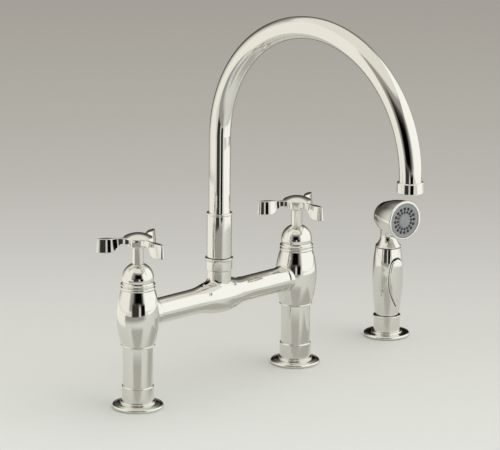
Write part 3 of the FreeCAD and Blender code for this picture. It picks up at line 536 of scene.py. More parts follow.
@dataclass
class Workshop:
    """Makes pieces of the object: puts each on its body and hides the solids it stands for."""

    finishes: dict[Slot, bpy.types.Material]

    def place(self, shape: Shape, name: str, body: str, *nodes: str,
              slot: Slot = Slot.NICKEL) -> bpy.types.Object:
        """Turn a shape into a piece of the object.

        Args:
            shape: The shape, in its place.
            name: The piece's name.
            body: The body that carries it.
            *nodes: The solids that it stands for.
            slot: The finish it takes.

        Returns:
            The piece.
        """
        piece = shape.to_object(name, self.finishes[slot])
        return self.fasten(piece, body, nodes)

    def fasten(self, piece: bpy.types.Object, body: str, nodes: Sequence[str]) -> bpy.types.Object:
        """Ride a finished object on its body, and log it.

        Args:
            piece: The object.
            body: The body that carries it.
            nodes: The solids that it stands for.

        Returns:
            The same object.
        """
        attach(piece, body)
        if nodes:
            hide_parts(*nodes)
        LOG.info("%s rides on %s, %d faces", piece.name, body, len(piece.data.polygons))
        return piece

    def grown(self, base: Shape, name: str, body: str, *nodes: str, steps: Sequence[TreeStep],
              slot: Slot = Slot.NICKEL, at: Matrix = Matrix.Identity(4)) -> bpy.types.Object:
        """Run node trees on a base shape and keep the result as a plain piece.

        Args:
            base: What the first tree starts from.
            name: The piece's name.
            body: The body that carries it.
            *nodes: The solids that it stands for.
            steps: The trees, each with its inputs.
            slot: The finish it takes.
            at: Where it goes, in millimetres.

        Returns:
            The piece, with no modifiers left.
        """
        piece = base.to_object(name, self.finishes[slot])
        for step in steps:
            modifier = piece.modifiers.new(step.tree.name, "NODES")
            modifier.node_group = step.tree
            sockets = {s.name: s.identifier for s in step.tree.interface.items_tree if s.in_out == "INPUT"}
            for label, value in step.inputs.items():
                modifier[sockets[label]] = value * MM if isinstance(value, float) else value
            modifier[sockets["Finish"]] = self.finishes[slot]
        mesh = keep_result(piece)
        mesh.shade_smooth()
        mesh.set_sharp_from_angle(angle=math.radians(SHARP_DEG))
        mesh.transform(Matrix.Scale(MM, 4) @ at @ Matrix.Scale(1 / MM, 4))
        return self.fasten(piece, body, nodes)


class TreeMaker:
    """Starts and ends a geometry tree, so that each tree holds only its own rule."""

    def __init__(self, name: str, lengths: str, counts: str = "") -> None:
        """Make the tree with a geometry input, named number inputs and a finish.

        Args:
            name: The tree's name.
            lengths: Names of its inputs in metres, with spaces between them.
            counts: Names of its whole-number inputs.
        """
        self.tree = bpy.data.node_groups.new(name, "GeometryNodeTree")
        face = self.tree.interface
        inputs = [("Geometry", "Geometry"), *((label, "Float") for label in lengths.split()),
                  *((label, "Int") for label in counts.split()), ("Finish", "Material")]
        for label, kind in inputs:
            face.new_socket(label, in_out="INPUT", socket_type="NodeSocket" + kind)
        face.new_socket("Geometry", in_out="OUTPUT", socket_type="NodeSocketGeometry")
        self.given = self.tree.nodes.new("NodeGroupInput").outputs

    def calc(self, kind: str, *parts: object) -> bpy.types.NodeSocket:
        """Add a Math node.

        Args:
            kind: The operation.
            *parts: Sockets or numbers, in order.

        Returns:
            The node's output.
        """
        node = add(self.tree, "ShaderNodeMath", operation=kind)
        for i, part in enumerate(parts):
            if isinstance(part, (int, float)):
                node.inputs[i].default_value = part
            else:
                self.tree.links.new(part, node.inputs[i])
        return node.outputs[0]

    def end(self, shape: bpy.types.NodeSocket) -> bpy.types.NodeTree:
        """Realize, set the finish and close the tree.

        Args:
            shape: The geometry so far.

        Returns:
            The finished tree.
        """
        real = add(self.tree, "GeometryNodeRealizeInstances", {"Geometry": shape})
        dressed = add(self.tree, "GeometryNodeSetMaterial",
                      {"Geometry": real.outputs[0], "Material": self.given["Finish"]})
        add(self.tree, "NodeGroupOutput", {0: dressed.outputs[0]})
        return self.tree

    def end_raised(self, shape: bpy.types.NodeSocket, level: bpy.types.NodeSocket) -> bpy.types.NodeTree:
        """Lift the geometry, join it to what came in and close the tree.

        Args:
            shape: The geometry so far.
            level: Height to lift it by.

        Returns:
            The finished tree.
        """
        lift = add(self.tree, "ShaderNodeCombineXYZ", {"Z": level})
        raised = add(self.tree, "GeometryNodeTransform", {"Geometry": shape, "Translation": lift.outputs[0]})
        both = add(self.tree, "GeometryNodeJoinGeometry", {"Geometry": raised.outputs[0]})
        self.tree.links.new(self.given["Geometry"], both.inputs[0])
        return self.end(both.outputs[0])


def gooseneck_tree() -> bpy.types.NodeTree:
    """Tube that rises straight, turns half round and comes down, from named sizes in metres."""
    make = TreeMaker("gooseneck", "Foot Rise Bend Tail Tube", "Stations Sides")
    tree, given = make.tree, make.given
    line = add(tree, "GeometryNodeCurvePrimitiveLine")
    fine = add(tree, "GeometryNodeResampleCurve", {"Curve": line.outputs[0], "Count": given["Stations"]})
    share = add(tree, "GeometryNodeSplineParameter").outputs["Factor"]
    half_turn = make.calc("MULTIPLY", given["Bend"], math.pi)
    length = make.calc("ADD", make.calc("ADD", given["Rise"], half_turn), given["Tail"])
    run = make.calc("MULTIPLY", share, length)
    over_rise = make.calc("SUBTRACT", run, given["Rise"])
    angle = make.calc("MAXIMUM", make.calc("DIVIDE", over_rise, given["Bend"]), 0.0)
    angle = make.calc("MINIMUM", angle, math.pi)
    up = make.calc("MINIMUM", run, given["Rise"])
    past = make.calc("MAXIMUM", make.calc("SUBTRACT", over_rise, half_turn), 0.0)
    level = make.calc("ADD", given["Foot"], make.calc("SUBTRACT", up, past))
    z = make.calc("ADD", level, make.calc("MULTIPLY", given["Bend"], make.calc("SINE", angle)))
    out = make.calc("SUBTRACT", make.calc("COSINE", angle), 1.0)
    spot = add(tree, "ShaderNodeCombineXYZ", {"Y": make.calc("MULTIPLY", given["Bend"], out), "Z": z})
    path = add(tree, "GeometryNodeSetPosition", {"Geometry": fine.outputs[0], "Position": spot.outputs[0]})
    ring = add(tree, "GeometryNodeCurvePrimitiveCircle",
               {"Resolution": given["Sides"], "Radius": given["Tube"]})
    tube = add(tree, "GeometryNodeCurveToMesh",
               {"Curve": path.outputs[0], "Profile Curve": ring.outputs[0]}, {"Fill Caps": True})
    return make.end(tube.outputs[0])


def thread_tree() -> bpy.types.NodeTree:
    """Screw thread wound round what comes in, from named sizes in metres."""
    make = TreeMaker("screw_thread", "Radius Pitch Length Start Ridge")
    tree, given = make.tree, make.given
    turns = make.calc("DIVIDE", given["Length"], given["Pitch"])
    coil = add(tree, "GeometryNodeCurveSpiral",
               {"Rotations": turns, "Start Radius": given["Radius"], "End Radius": given["Radius"],
                "Height": given["Length"]}, {"Resolution": 40})
    ridge = add(tree, "GeometryNodeCurvePrimitiveCircle", {"Radius": given["Ridge"]}, {"Resolution": 4})
    thread = add(tree, "GeometryNodeCurveToMesh",
                 {"Curve": coil.outputs[0], "Profile Curve": ridge.outputs[0]}, {"Fill Caps": True})
    return make.end_raised(thread.outputs[0], given["Start"])


def studs_tree() -> bpy.types.NodeTree:
    """Ring of small tapered studs added to what comes in, from named sizes in metres."""
    make = TreeMaker("ring_of_studs", "Ring Base Tip Height Level", "Count")
    tree, given = make.tree, make.given
    spots = add(tree, "GeometryNodeMeshCircle", {"Vertices": given["Count"], "Radius": given["Ring"]})
    stud = add(tree, "GeometryNodeMeshCone",
               {"Radius Top": given["Tip"], "Radius Bottom": given["Base"], "Depth": given["Height"]},
               {"Vertices": 16})
    ring = add(tree, "GeometryNodeInstanceOnPoints",
               {"Points": spots.outputs[0], "Instance": stud.outputs["Mesh"]})
    return make.end_raised(ring.outputs[0], given["Level"])


# -------- sub-assemblies


def flange_path(rim_r: float, height: float, step_r: float, hole_r: float) -> list[Pair]:
    """Outline of a deck flange: rolled rim, dished top, raised ring, hollow underneath.

    Args:
        rim_r: Outer radius.
        height: Height of the raised ring.
        step_r: Radius of the raised ring.
        hole_r: Radius of the hole.

    Returns:
        The closed outline.
    """
    rolled, rim_inner, rim, hollow = rim_r - 0.9, rim_r - 2.2, 3.2, 0.5
    dish = (rim + height - hollow) / 2
    path: list[Pair] = [(rim_inner, 0), (rolled, 0)]
    path += arc(path[-1], (rim_r, rim / 2), (rolled, rim), 12)
    path += arc(path[-1], (rolled - 0.75, rim + 0.25), (rolled - 1.5, rim), 5)
    path += arc(path[-1], ((rim_r + step_r) / 2, dish - hollow), (step_r, dish), 10)
    path += [(step_r, height - 0.4), (step_r - 0.4, height), (hole_r, height)]
    return path + [(hole_r, height - 1.6), (rim_inner, 1.5)]


@dataclass
class Column:
    """One column: flange, base ring, leg, valve body and bonnet, with the shank under the deck.

    Attributes:
        side: "left" or "right".
        x: Place of the column's axis.
    """

    side: str
    x: float
    flange_top: float = 6.0
    leg_bottom: float = 20.7
    valve_bottom: float = 56.8
    valve_top: float = 116.0
    bonnet_top: float = 132.0
    belly_r: float = 19.1
    lip_r: float = 15.2
    shoulder_r: float = 15.0
    neck_r: float = 14.3
    cartridge_r: float = 11.2
    leg_r: float = 13.6
    shank_r: float = 10.65
    thread_r: float = 10.4
    thread_root: float = 9.75
    shank_low: float = -66.0

    def base_ring(self) -> Shape:
        """Ring that clamps the flange, with the fine groove at its foot."""
        low, high, r, bore = self.flange_top, self.leg_bottom, 14.6, 12.5
        path: list[Pair] = [(bore, low), (13.9, low), (13.9, low + 1.2), (r, low + 1.7), (r, high - 1.4)]
        path += arc(path[-1], (r - 0.3, high - 0.5), (r - 1.1, high), 8)
        return turned(path + [(bore, high)], 0.2)

    def leg(self) -> Shape:
        """Plain tube from the base ring up into the valve body's lip."""
        low, ring_top, top, r = self.flange_top + 0.1, self.leg_bottom, self.valve_bottom, self.leg_r
        foot_r, foot_bore, bore, step = 12.4, 10.5, self.cartridge_r, 24.8
        return turned([(foot_bore, low), (foot_r, low), (foot_r, ring_top), (r, ring_top), (r, top),
                       (bore, top), (bore, step), (foot_bore, step)], 0.2)

    def valve_body(self) -> Shape:
        """Barrel-shaped valve body with its lip, bead, groove and top ring."""
        foot, top, belly = self.valve_bottom, self.valve_top, (self.belly_r, BRIDGE_Z)
        shoulder, lip_top, floor = foot + 52.2, foot + 2.3, foot + 35.2
        bead, bead_bulge = self.shoulder_r, self.shoulder_r + 0.5
        path: list[Pair] = [(10.0, foot), (14.4, foot)]
        path += arc(path[-1], (15.4, foot + 0.9), (14.9, foot + 1.8), 8)
        path += [(self.lip_r, lip_top)]
        path += list(reversed(barrel(*belly, self.lip_r, lip_top)))[1:] + [belly]
        path += barrel(*belly, bead, shoulder)
        path += arc(path[-1], (bead_bulge, shoulder + 1.2), (bead, shoulder + 2.4), 8)
        path += [(self.neck_r, shoulder + 2.9), (self.neck_r, shoulder + 3.4)]
        path += arc(path[-1], (bead_bulge, shoulder + 4.4), (14.65, shoulder + 5.4), 8)
        path += arc(path[-1], (14.4, (shoulder + 5.4 + top) / 2 - 0.5), (13.9, top), 4)
        return turned(path + [(self.cartridge_r, top), (self.cartridge_r, floor), (8.5, floor)], 0.25)

    def bonnet(self) -> Shape:
        """Ball-shaped dome over the cartridge, open at the top for the handle's neck."""
        low, top, ball, mouth, bore, edge = self.valve_top, self.bonnet_top, 14.2, 5.6, 8.1, 0.5
        middle = top - math.sqrt(ball * ball - mouth * mouth)
        under = middle - low - edge
        foot = math.sqrt(ball * ball - under * under)
        half = (-math.asin(under / ball) + math.acos(mouth / ball)) / 2
        path: list[Pair] = [(bore, low), (foot - edge, low), (foot, low + edge)]
        path += arc(path[-1], (ball * math.cos(half), middle + ball * math.sin(half)), (mouth, top), 26)
        return turned(path + [(5.4, top), (5.4, top - 3), (bore, top - 5)], 0.15)

    def shank_core(self) -> Shape:
        """Shank through the deck, at the root of its thread below."""
        low, plain_low, seat, top, bore = self.shank_low, -29, 1.6, 24, 7.5
        root, r, upper = self.thread_root, self.shank_r, self.thread_r
        return turned([(bore, low), (9.2, low), (root, low + 0.8), (root, plain_low), (r, plain_low), (r, seat),
                       (upper, seat), (upper, top), (bore, top)], 0.25)

    def build(self, workshop: Workshop, threads: bpy.types.NodeTree) -> None:
        """Make and place the column's pieces.

        Args:
            workshop: Makes the pieces.
            threads: The thread's node tree.
        """
        flange = turned(flange_path(rim_r=23.3, height=self.flange_top, step_r=15.8, hole_r=12.3), 0.2)
        for shape, name in ((flange, "deck_flange"), (self.base_ring(), "base_ring"), (self.leg(), "leg_tube"),
                            (self.valve_body(), "valve_body"), (self.bonnet(), "bonnet")):
            full = f"{self.side}_{name}"
            workshop.place(shape.at(self.x), full + "_turned", "deck_set", full)
        thread = TreeStep(threads, {"Radius": self.thread_root, "Pitch": THREAD_PITCH, "Length": 34.0,
                                    "Start": self.shank_low + 1.5, "Ridge": 0.62})
        workshop.grown(self.shank_core(), f"{self.side}_shank_threaded", "deck_set",
                       f"{self.side}_threaded_shank", steps=[thread], slot=Slot.BRASS,
                       at=Matrix.Translation((self.x, 0, 0)))


@dataclass
class CrossHandle:
    """Handle with a hub, a lens-shaped cap and three arms that deepen towards their round tips.

    Attributes:
        side: "left" or "right".
        x: Place of its axis.
        top: Level of the arms' flat tops.
        first_arm: Bearing of the first arm, in degrees.
        reach: How far the arms reach from the axis.
        tip_half: Half of an arm's greatest width, which lies tip_run from its end.
        tip_bend: Radius of the round tip.
        side_bend: Radius of the full side.
        side_lean: How far the side leans in for each millimetre down.
        taper: How much the side's straight part narrows towards the hub.
        waist_u: Distance of the waist from the axis.
        waist_bend: Radius of the waist.
        waist_flare: How far the waist turns out again towards the hub.
        round_edge: Radius of the arm's edges.
        thin: Depth of an arm at the hub.
        deep: Depth of an arm at its tip.
        deepens: Distances from the axis between which the depth grows.
    """

    side: str
    x: float
    top: float = 155.8
    bonnet_top: float = 132.0
    first_arm: float = -96.9
    reach: float = 37.05
    tip_half: float = 3.7
    tip_run: float = 8.68
    tip_bend: float = 2.18
    side_bend: float = 16.8
    side_lean: float = 0.07
    taper: float = math.radians(15.0)
    waist_u: float = 17.5
    waist_bend: float = 10.0
    waist_flare: float = math.radians(35.0)
    round_edge: float = 0.75
    thin: float = 5.6
    deep: float = 12.9
    deepens: Pair = (14.5, 23.5)
    hub_r: float = 9.3
    hub_depth: float = 8.0
    cap_r: float = 12.8
    cap_rise: float = 4.3

    def underside(self, x: float) -> float:
        """Depth of the arm under its flat top at a distance from the axis.

        Args:
            x: Distance from the handle's axis.

        Returns:
            The depth.
        """
        start, full = self.deepens
        return self.thin + (self.deep - self.thin) * ease((x - start) / (full - start))

    def side_line(self, inset: float, lean: float = 0.0) -> list[Pair]:
        """Half of the arm's plan: a waist near the hub, a long full side and a round tip.

        Args:
            inset: Distance in from the edge.
            lean: How far the side leans in for each millimetre of the arm's depth.

        Returns:
            Points of (distance out, half width).
        """
        full_u, side, tip = self.reach - self.tip_run, self.side_bend, self.tip_bend
        tip_turn = math.acos((side - self.tip_half) / (side - tip))
        low = self.tip_half - side * (1 - math.cos(self.taper))
        full_start = full_u - side * math.sin(self.taper)
        waist_end = self.waist_u + self.waist_bend * math.sin(self.taper)
        run = full_start - waist_end
        waist = low - run * math.tan(self.taper) - self.waist_bend * (1 - math.cos(self.taper))
        fine, straight, round_tip = 14, 5, 10
        base: list[tuple[float, float, float]] = []       # distance out, half width, turn of the side
        for i in range(fine + 1):
            a = -self.waist_flare + (self.waist_flare + self.taper) * i / fine
            half = waist + self.waist_bend * (1 - math.cos(a))
            base.append((self.waist_u + self.waist_bend * math.sin(a), half, -a))
        for i in range(1, straight):
            share = i / straight
            base.append((waist_end + run * share, low - run * (1 - share) * math.tan(self.taper), -self.taper))
        for i in range(fine + 1):
            a = -self.taper + (self.taper + tip_turn) * i / fine
            base.append((full_u + side * math.sin(a), self.tip_half - side * (1 - math.cos(a)), a))
        middle = full_u + (side - tip) * math.sin(tip_turn)
        for i in range(1, round_tip + 1):
            a = tip_turn + (math.pi / 2 - tip_turn) * i / round_tip
            base.append((middle + tip * math.sin(a), tip * math.cos(a), a))
        in_hub = (0.0, 6.0)
        line = [(x, base[0][1] - inset - lean * self.underside(x)) for x in in_hub]
        for u, half, turn in base:
            deep = inset + lean * self.underside(u)
            line.append((u - deep * math.sin(turn), max(half - deep * math.cos(turn), 0.0)))
        return line

    def arm(self) -> Shape:
        """One arm along +X, its edges rounded all round."""
        e, quarter, wall = self.round_edge, 4, self.round_edge + 0.2
        edge = [(e * (1 - math.sin(a)), e * (1 - math.cos(a)))
                for a in (math.radians(90 * i / quarter) for i in range(quarter + 1))]
        loops = [(self.side_line(inset, self.side_lean), drop, True) for inset, drop in edge]
        loops += [(self.side_line(0.0, self.side_lean), wall, True), (self.side_line(0.0), wall, False)]
        loops += [(self.side_line(inset), drop, False) for inset, drop in reversed(edge)]
        shape = Shape()
        rows: list[list[int]] = []
        for line, drop, upper in loops:
            both = line + [(x, -half) for x, half in reversed(line[:-1])]
            rows.append(shape.add_loop([
                Vector((x, half, self.top - drop if upper else self.top - self.underside(x) + drop))
                for x, half in both]))
        for one, other in zip(rows, rows[1:]):
            shape.bridge(one, other)
        for row in (rows[0], rows[-1]):
            for i in range(len(row) // 2):
                j = len(row) - 1 - i
                face = dict.fromkeys((row[i], row[i + 1], row[j - 1], row[j]))
                if i + 1 < j:
                    shape.close(list(face))
        return shape

    def hub(self) -> Shape:
        """Hub with the neck that goes down into the bonnet."""
        low, top, foot = self.top - self.hub_depth, self.top - 0.02, self.bonnet_top - 4.4
        r, neck = self.hub_r, 5.05
        path: list[Pair] = [(0, foot), (neck, foot), (neck, low - 1.2)]
        path += arc(path[-1], (5.4, low - 0.35), (6.25, low), 5)
        path += [(8.0, low)]
        path += arc(path[-1], (8.93, low + 0.38), (r, low + 1.3), 5)
        return turned(path + [(r, top), (0, top)], 0.2)

    def cap(self) -> Shape:
        """Lens-shaped cap over the hub."""
        low, r = self.top + 0.01, self.cap_r
        rim, rim_top = r - 0.2, low + 0.75
        path: list[Pair] = [(0, low), (r, low)]
        path += arc(path[-1], (r + 0.07, low + 0.4), (rim, rim_top), 4)
        return turned(path + crown(rim, rim_top, self.top + self.cap_rise, 18), 0.05)

    def build(self, workshop: Workshop) -> None:
        """Make and place the handle's pieces."""
        shape = self.hub()
        for i in range(3):
            turn = Matrix.Rotation(math.radians(self.first_arm + 120 * i), 4, "Z")
            shape = shape + self.arm().moved(turn)
        body = f"{self.side}_handle"
        workshop.place(shape.at(self.x), body + "_three_arms", body, body)
        workshop.place(self.cap().at(self.x), body + "_cap_lens", body, body + "_cap")


@dataclass
class Bridge:
    """Two tubes and the swollen tee, cast in one, with the neck blended in.

    Attributes:
        tube_r: Radius of the tubes.
        flare: How much wider the tubes are at their ends.
        flare_from: Distance from the middle where the flare starts.
        flare_end: Distance where it is full.
        end: Distance of the hidden ends.
        tee_r: Radius of the tee in its middle.
        tee_half: Half of the tee's length.
        neck_r: Radius of the neck.
        neck_top: Height of the neck over the tubes' axis.
        fillet: Radius of the blend between neck and tee.
        grub_x: Place of the grub screw along the bridge.
        grub_tilt: Height of the screw over the front, in degrees.
    """

    tube_r: float = 11.5
    flare: float = 1.4
    flare_from: float = 79.9
    flare_end: float = 82.5
    end: float = 90.0
    tee_r: float = 15.8
    tee_half: float = 36.0
    neck_r: float = 11.0
    neck_top: float = 24.7
    fillet: float = 4.0
    grub_x: float = -22.0
    grub_tilt: float = 31.0
    grub_hole_r: float = 1.6

    def radius(self, x: float) -> float:
        """Radius of tube and tee at a distance from the middle, with the flare at the ends."""
        far = abs(x)
        if far >= self.flare_end:
            return self.tube_r + self.flare
        if far > self.flare_from:
            share = (far - self.flare_from) / (self.flare_end - self.flare_from)
            return self.tube_r + self.flare * (1 - math.sqrt(1 - share * share))
        if far >= self.tee_half:
            return self.tube_r
        dr = self.tee_r - self.tube_r
        bend = (self.tee_half ** 2 + dr * dr) / (4 * dr)
        run = min(far, self.tee_half - far)
        drop = bend - math.sqrt(bend * bend - run * run)
        return self.tee_r - drop if far < self.tee_half / 2 else self.tube_r + drop

    def skin(self, angle: float, x: float) -> Vector:
        """Point of the tube for an angle from the top and a distance along it."""
        r = self.radius(x)
        return Vector((x, r * math.sin(angle), BRIDGE_Z + r * math.cos(angle)))

    def corner(self, bearing: float) -> tuple[Vector, Vector]:
        """Ball that rolls in the corner between neck and tee.

        Args:
            bearing: Direction round the neck, from +X.

        Returns:
            The ball's centre, and (angle, distance along the tube, 0) where it touches the tee.
        """
        out = self.neck_r + self.fillet
        x, y = out * math.cos(bearing), out * math.sin(bearing)
        low, high, halvings, closer, near = 0.0, 40.0, 40, 12, 0.01
        foot = x
        for _ in range(halvings):
            z = (low + high) / 2
            q = math.hypot(y, z)
            foot = x
            for _ in range(closer):
                slope = (self.radius(foot + near) - self.radius(foot - near)) / (2 * near)
                foot = x + (q - self.radius(foot)) * slope
            if math.hypot(foot - x, q - self.radius(foot)) < self.fillet:
                low = z
            else:
                high = z
        return Vector((x, y, z)), Vector((math.atan2(y, z), foot, 0))

    def casting(self) -> Shape:
        """The whole casting as one closed skin."""
        half, pitch, sides, steps, edge = 24, 2, 96, 9, 0.4
        inner = [-half + pitch * i for i in range(half + 1)]
        ends = [self.flare_end + (self.end - self.flare_end) * i / 3 for i in range(4)]
        flare = [self.flare_from + (self.flare_end - self.flare_from) * i / 6 for i in range(6)]
        right = [half + pitch * i for i in range(1, 7)] + [44, 62, 78] + flare + ends
        stations = [-s for s in reversed(right)] + inner + right
        first = len(right)
        window = (29, 67, first, first + half)
        shape, last, bearings = PiercedSkin(
            self.skin, even_angles(sides), stations, window,
            lambda b: tuple(self.corner(math.pi / 2 - b)[1][:2]), steps).build()
        balls = [self.corner(math.pi / 2 - b) for b in bearings]
        axis = Vector((0, 0, BRIDGE_Z))
        for k in range(1, steps + 1):
            ring = []
            for centre, touch in balls:
                from_foot = (self.skin(touch[0], touch[1]) - axis - centre).normalized()
                flat = Vector((-centre.x, -centre.y, 0)).normalized()
                ring.append(centre + from_foot.slerp(flat, k / steps) * self.fillet + axis)
            last = shape.grow(last, ring)
        top = BRIDGE_Z + self.neck_top
        for level, inset in ((top - edge, 0.0), (top, edge)):
            last = shape.grow(last, [Vector((c.x, c.y, 0)).normalized() * (self.neck_r - inset)
                                     + Vector((0, 0, level)) for c, _ in balls])
        shape.close(last)
        shape.close(range(sides))
        shape.close(range((len(stations) - 1) * sides, len(stations) * sides))
        return shape

    def drill(self, casting: bpy.types.Object) -> None:
        """Drill the grub screw's hole into the finished casting.

        Args:
            casting: The casting's object.
        """
        lean = Matrix.Rotation(math.radians(90 - self.grub_tilt), 4, "X")
        place = Matrix.Translation((self.grub_x, 0, BRIDGE_Z)) @ lean
        r, deep, clear = self.grub_hole_r, 11.0, 20.0
        drill = turned([(0, deep), (r, deep), (r, clear), (0, clear)], 0.0, 32).moved(place)
        tool = drill.to_object("grub_drill", casting.data.materials[0])
        cut = casting.modifiers.new("grub_hole", "BOOLEAN")
        cut.operation = "DIFFERENCE"
        cut.solver = "EXACT"
        cut.object = tool
        keep_result(casting)
        bpy.data.objects.remove(tool)

    def build(self, workshop: Workshop) -> None:
        """Make and place the casting."""
        self.drill(workshop.place(self.casting(), "bridge_casting", "deck_set", "bridge"))


@dataclass
class Spout:
    """Gooseneck with its collar, sleeve and aerator.

    Attributes:
        bend_z: Height where the half turn starts.
        bend_r: Radius of the tube's middle line.
        tube_r: Radius of the tube.
        tail: Length of its straight end over the outlet.
    """

    tee_mouth: float = 108.7
    collar_top: float = 120.0
    sleeve_low: float = 120.3
    sleeve_top: float = 161.8
    bend_z: float = 231.5
    bend_r: float = 114.5
    tube_r: float = 9.7
    tail: float = 6.5
    aerator_low: float = 219.6
    aerator_high: float = 229.5

    def collar(self) -> Shape:
        """Gland nut that spreads to a lip on top."""
        low, high, bore, r, lip = self.tee_mouth, self.collar_top, 8.9, 12.0, 12.8
        path: list[Pair] = [(bore, low), (r - 0.5, low), (r, low + 0.5), (r, high - 3.2)]
        path += arc(path[-1], (12.25, high - 2.0), (lip, high - 1.2), 5)
        return turned(path + [(lip, high - 0.4), (lip - 0.4, high), (bore, high)], 0.25)

    def sleeve(self) -> Shape:
        """Plain sleeve with a bead round its top."""
        low, high, foot_bore, bore, r, bead = self.sleeve_low, self.sleeve_top, 8.0, 9.0, 11.2, 11.65
        return turned([(foot_bore, low), (r - 0.5, low), (r, low + 0.5), (r, high - 2.1), (bead, high - 1.6),
                       (bead, high - 0.4), (bead - 0.4, high), (bore, high), (bore, low + 4),
                       (foot_bore, low + 4)], 0.3)

    def aerator(self) -> Shape:
        """Housing at the outlet."""
        low, high, mouth, bore, r, bevel = self.aerator_low, self.aerator_high, 8.9, 9.2, 11.5, 0.8
        step = high - 5.2
        return turned([(mouth, low), (r - bevel, low), (r, low + bevel), (r, high - bevel), (r - bevel, high),
                       (bore, high), (bore, step), (mouth, step)], 0.3)

    def insert(self) -> Shape:
        """Cup of the aerator with its rounded rim."""
        low, high, r, rim = self.aerator_low + 0.6, self.aerator_high - 5.25, 8.8, 7.2
        return turned([(0, low + 0.5), (rim - 0.5, low + 0.5), (rim, low), (r, low), (r, high), (0, high)], 0.3)

    def build(self, workshop: Workshop, gooseneck: bpy.types.NodeTree, studs: bpy.types.NodeTree) -> None:
        """Make and place the spout's pieces.

        Args:
            workshop: Makes the pieces.
            gooseneck: The tube's node tree.
            studs: The node tree of rings of studs.
        """
        workshop.place(self.collar(), "spout_collar_turned", "deck_set", "spout_collar")
        workshop.place(self.sleeve(), "spout_sleeve_turned", "spout", "spout_sleeve")
        foot = self.sleeve_low + 4
        tube = TreeStep(gooseneck, {"Foot": foot, "Rise": self.bend_z - foot, "Bend": self.bend_r,
                                    "Tail": self.tail, "Tube": self.tube_r, "Stations": 400, "Sides": 96})
        workshop.grown(Shape([Vector((0, 0, foot))]), "spout_gooseneck", "spout", "spout", steps=[tube])
        y = -2 * self.bend_r
        workshop.place(self.aerator().at(y=y), "aerator_housing", "spout", "aerator_shell")
        rings = [TreeStep(studs, {"Count": 6 * n, "Ring": 1.4 * n, "Base": 0.45, "Tip": 0.3, "Height": 0.5,
                                  "Level": self.aerator_low + 0.85}) for n in range(1, 5)]
        workshop.grown(self.insert(), "aerator_screen", "spout", "aerator_insert", steps=rings,
                       slot=Slot.PLASTIC, at=Matrix.Translation((0, y, 0)))


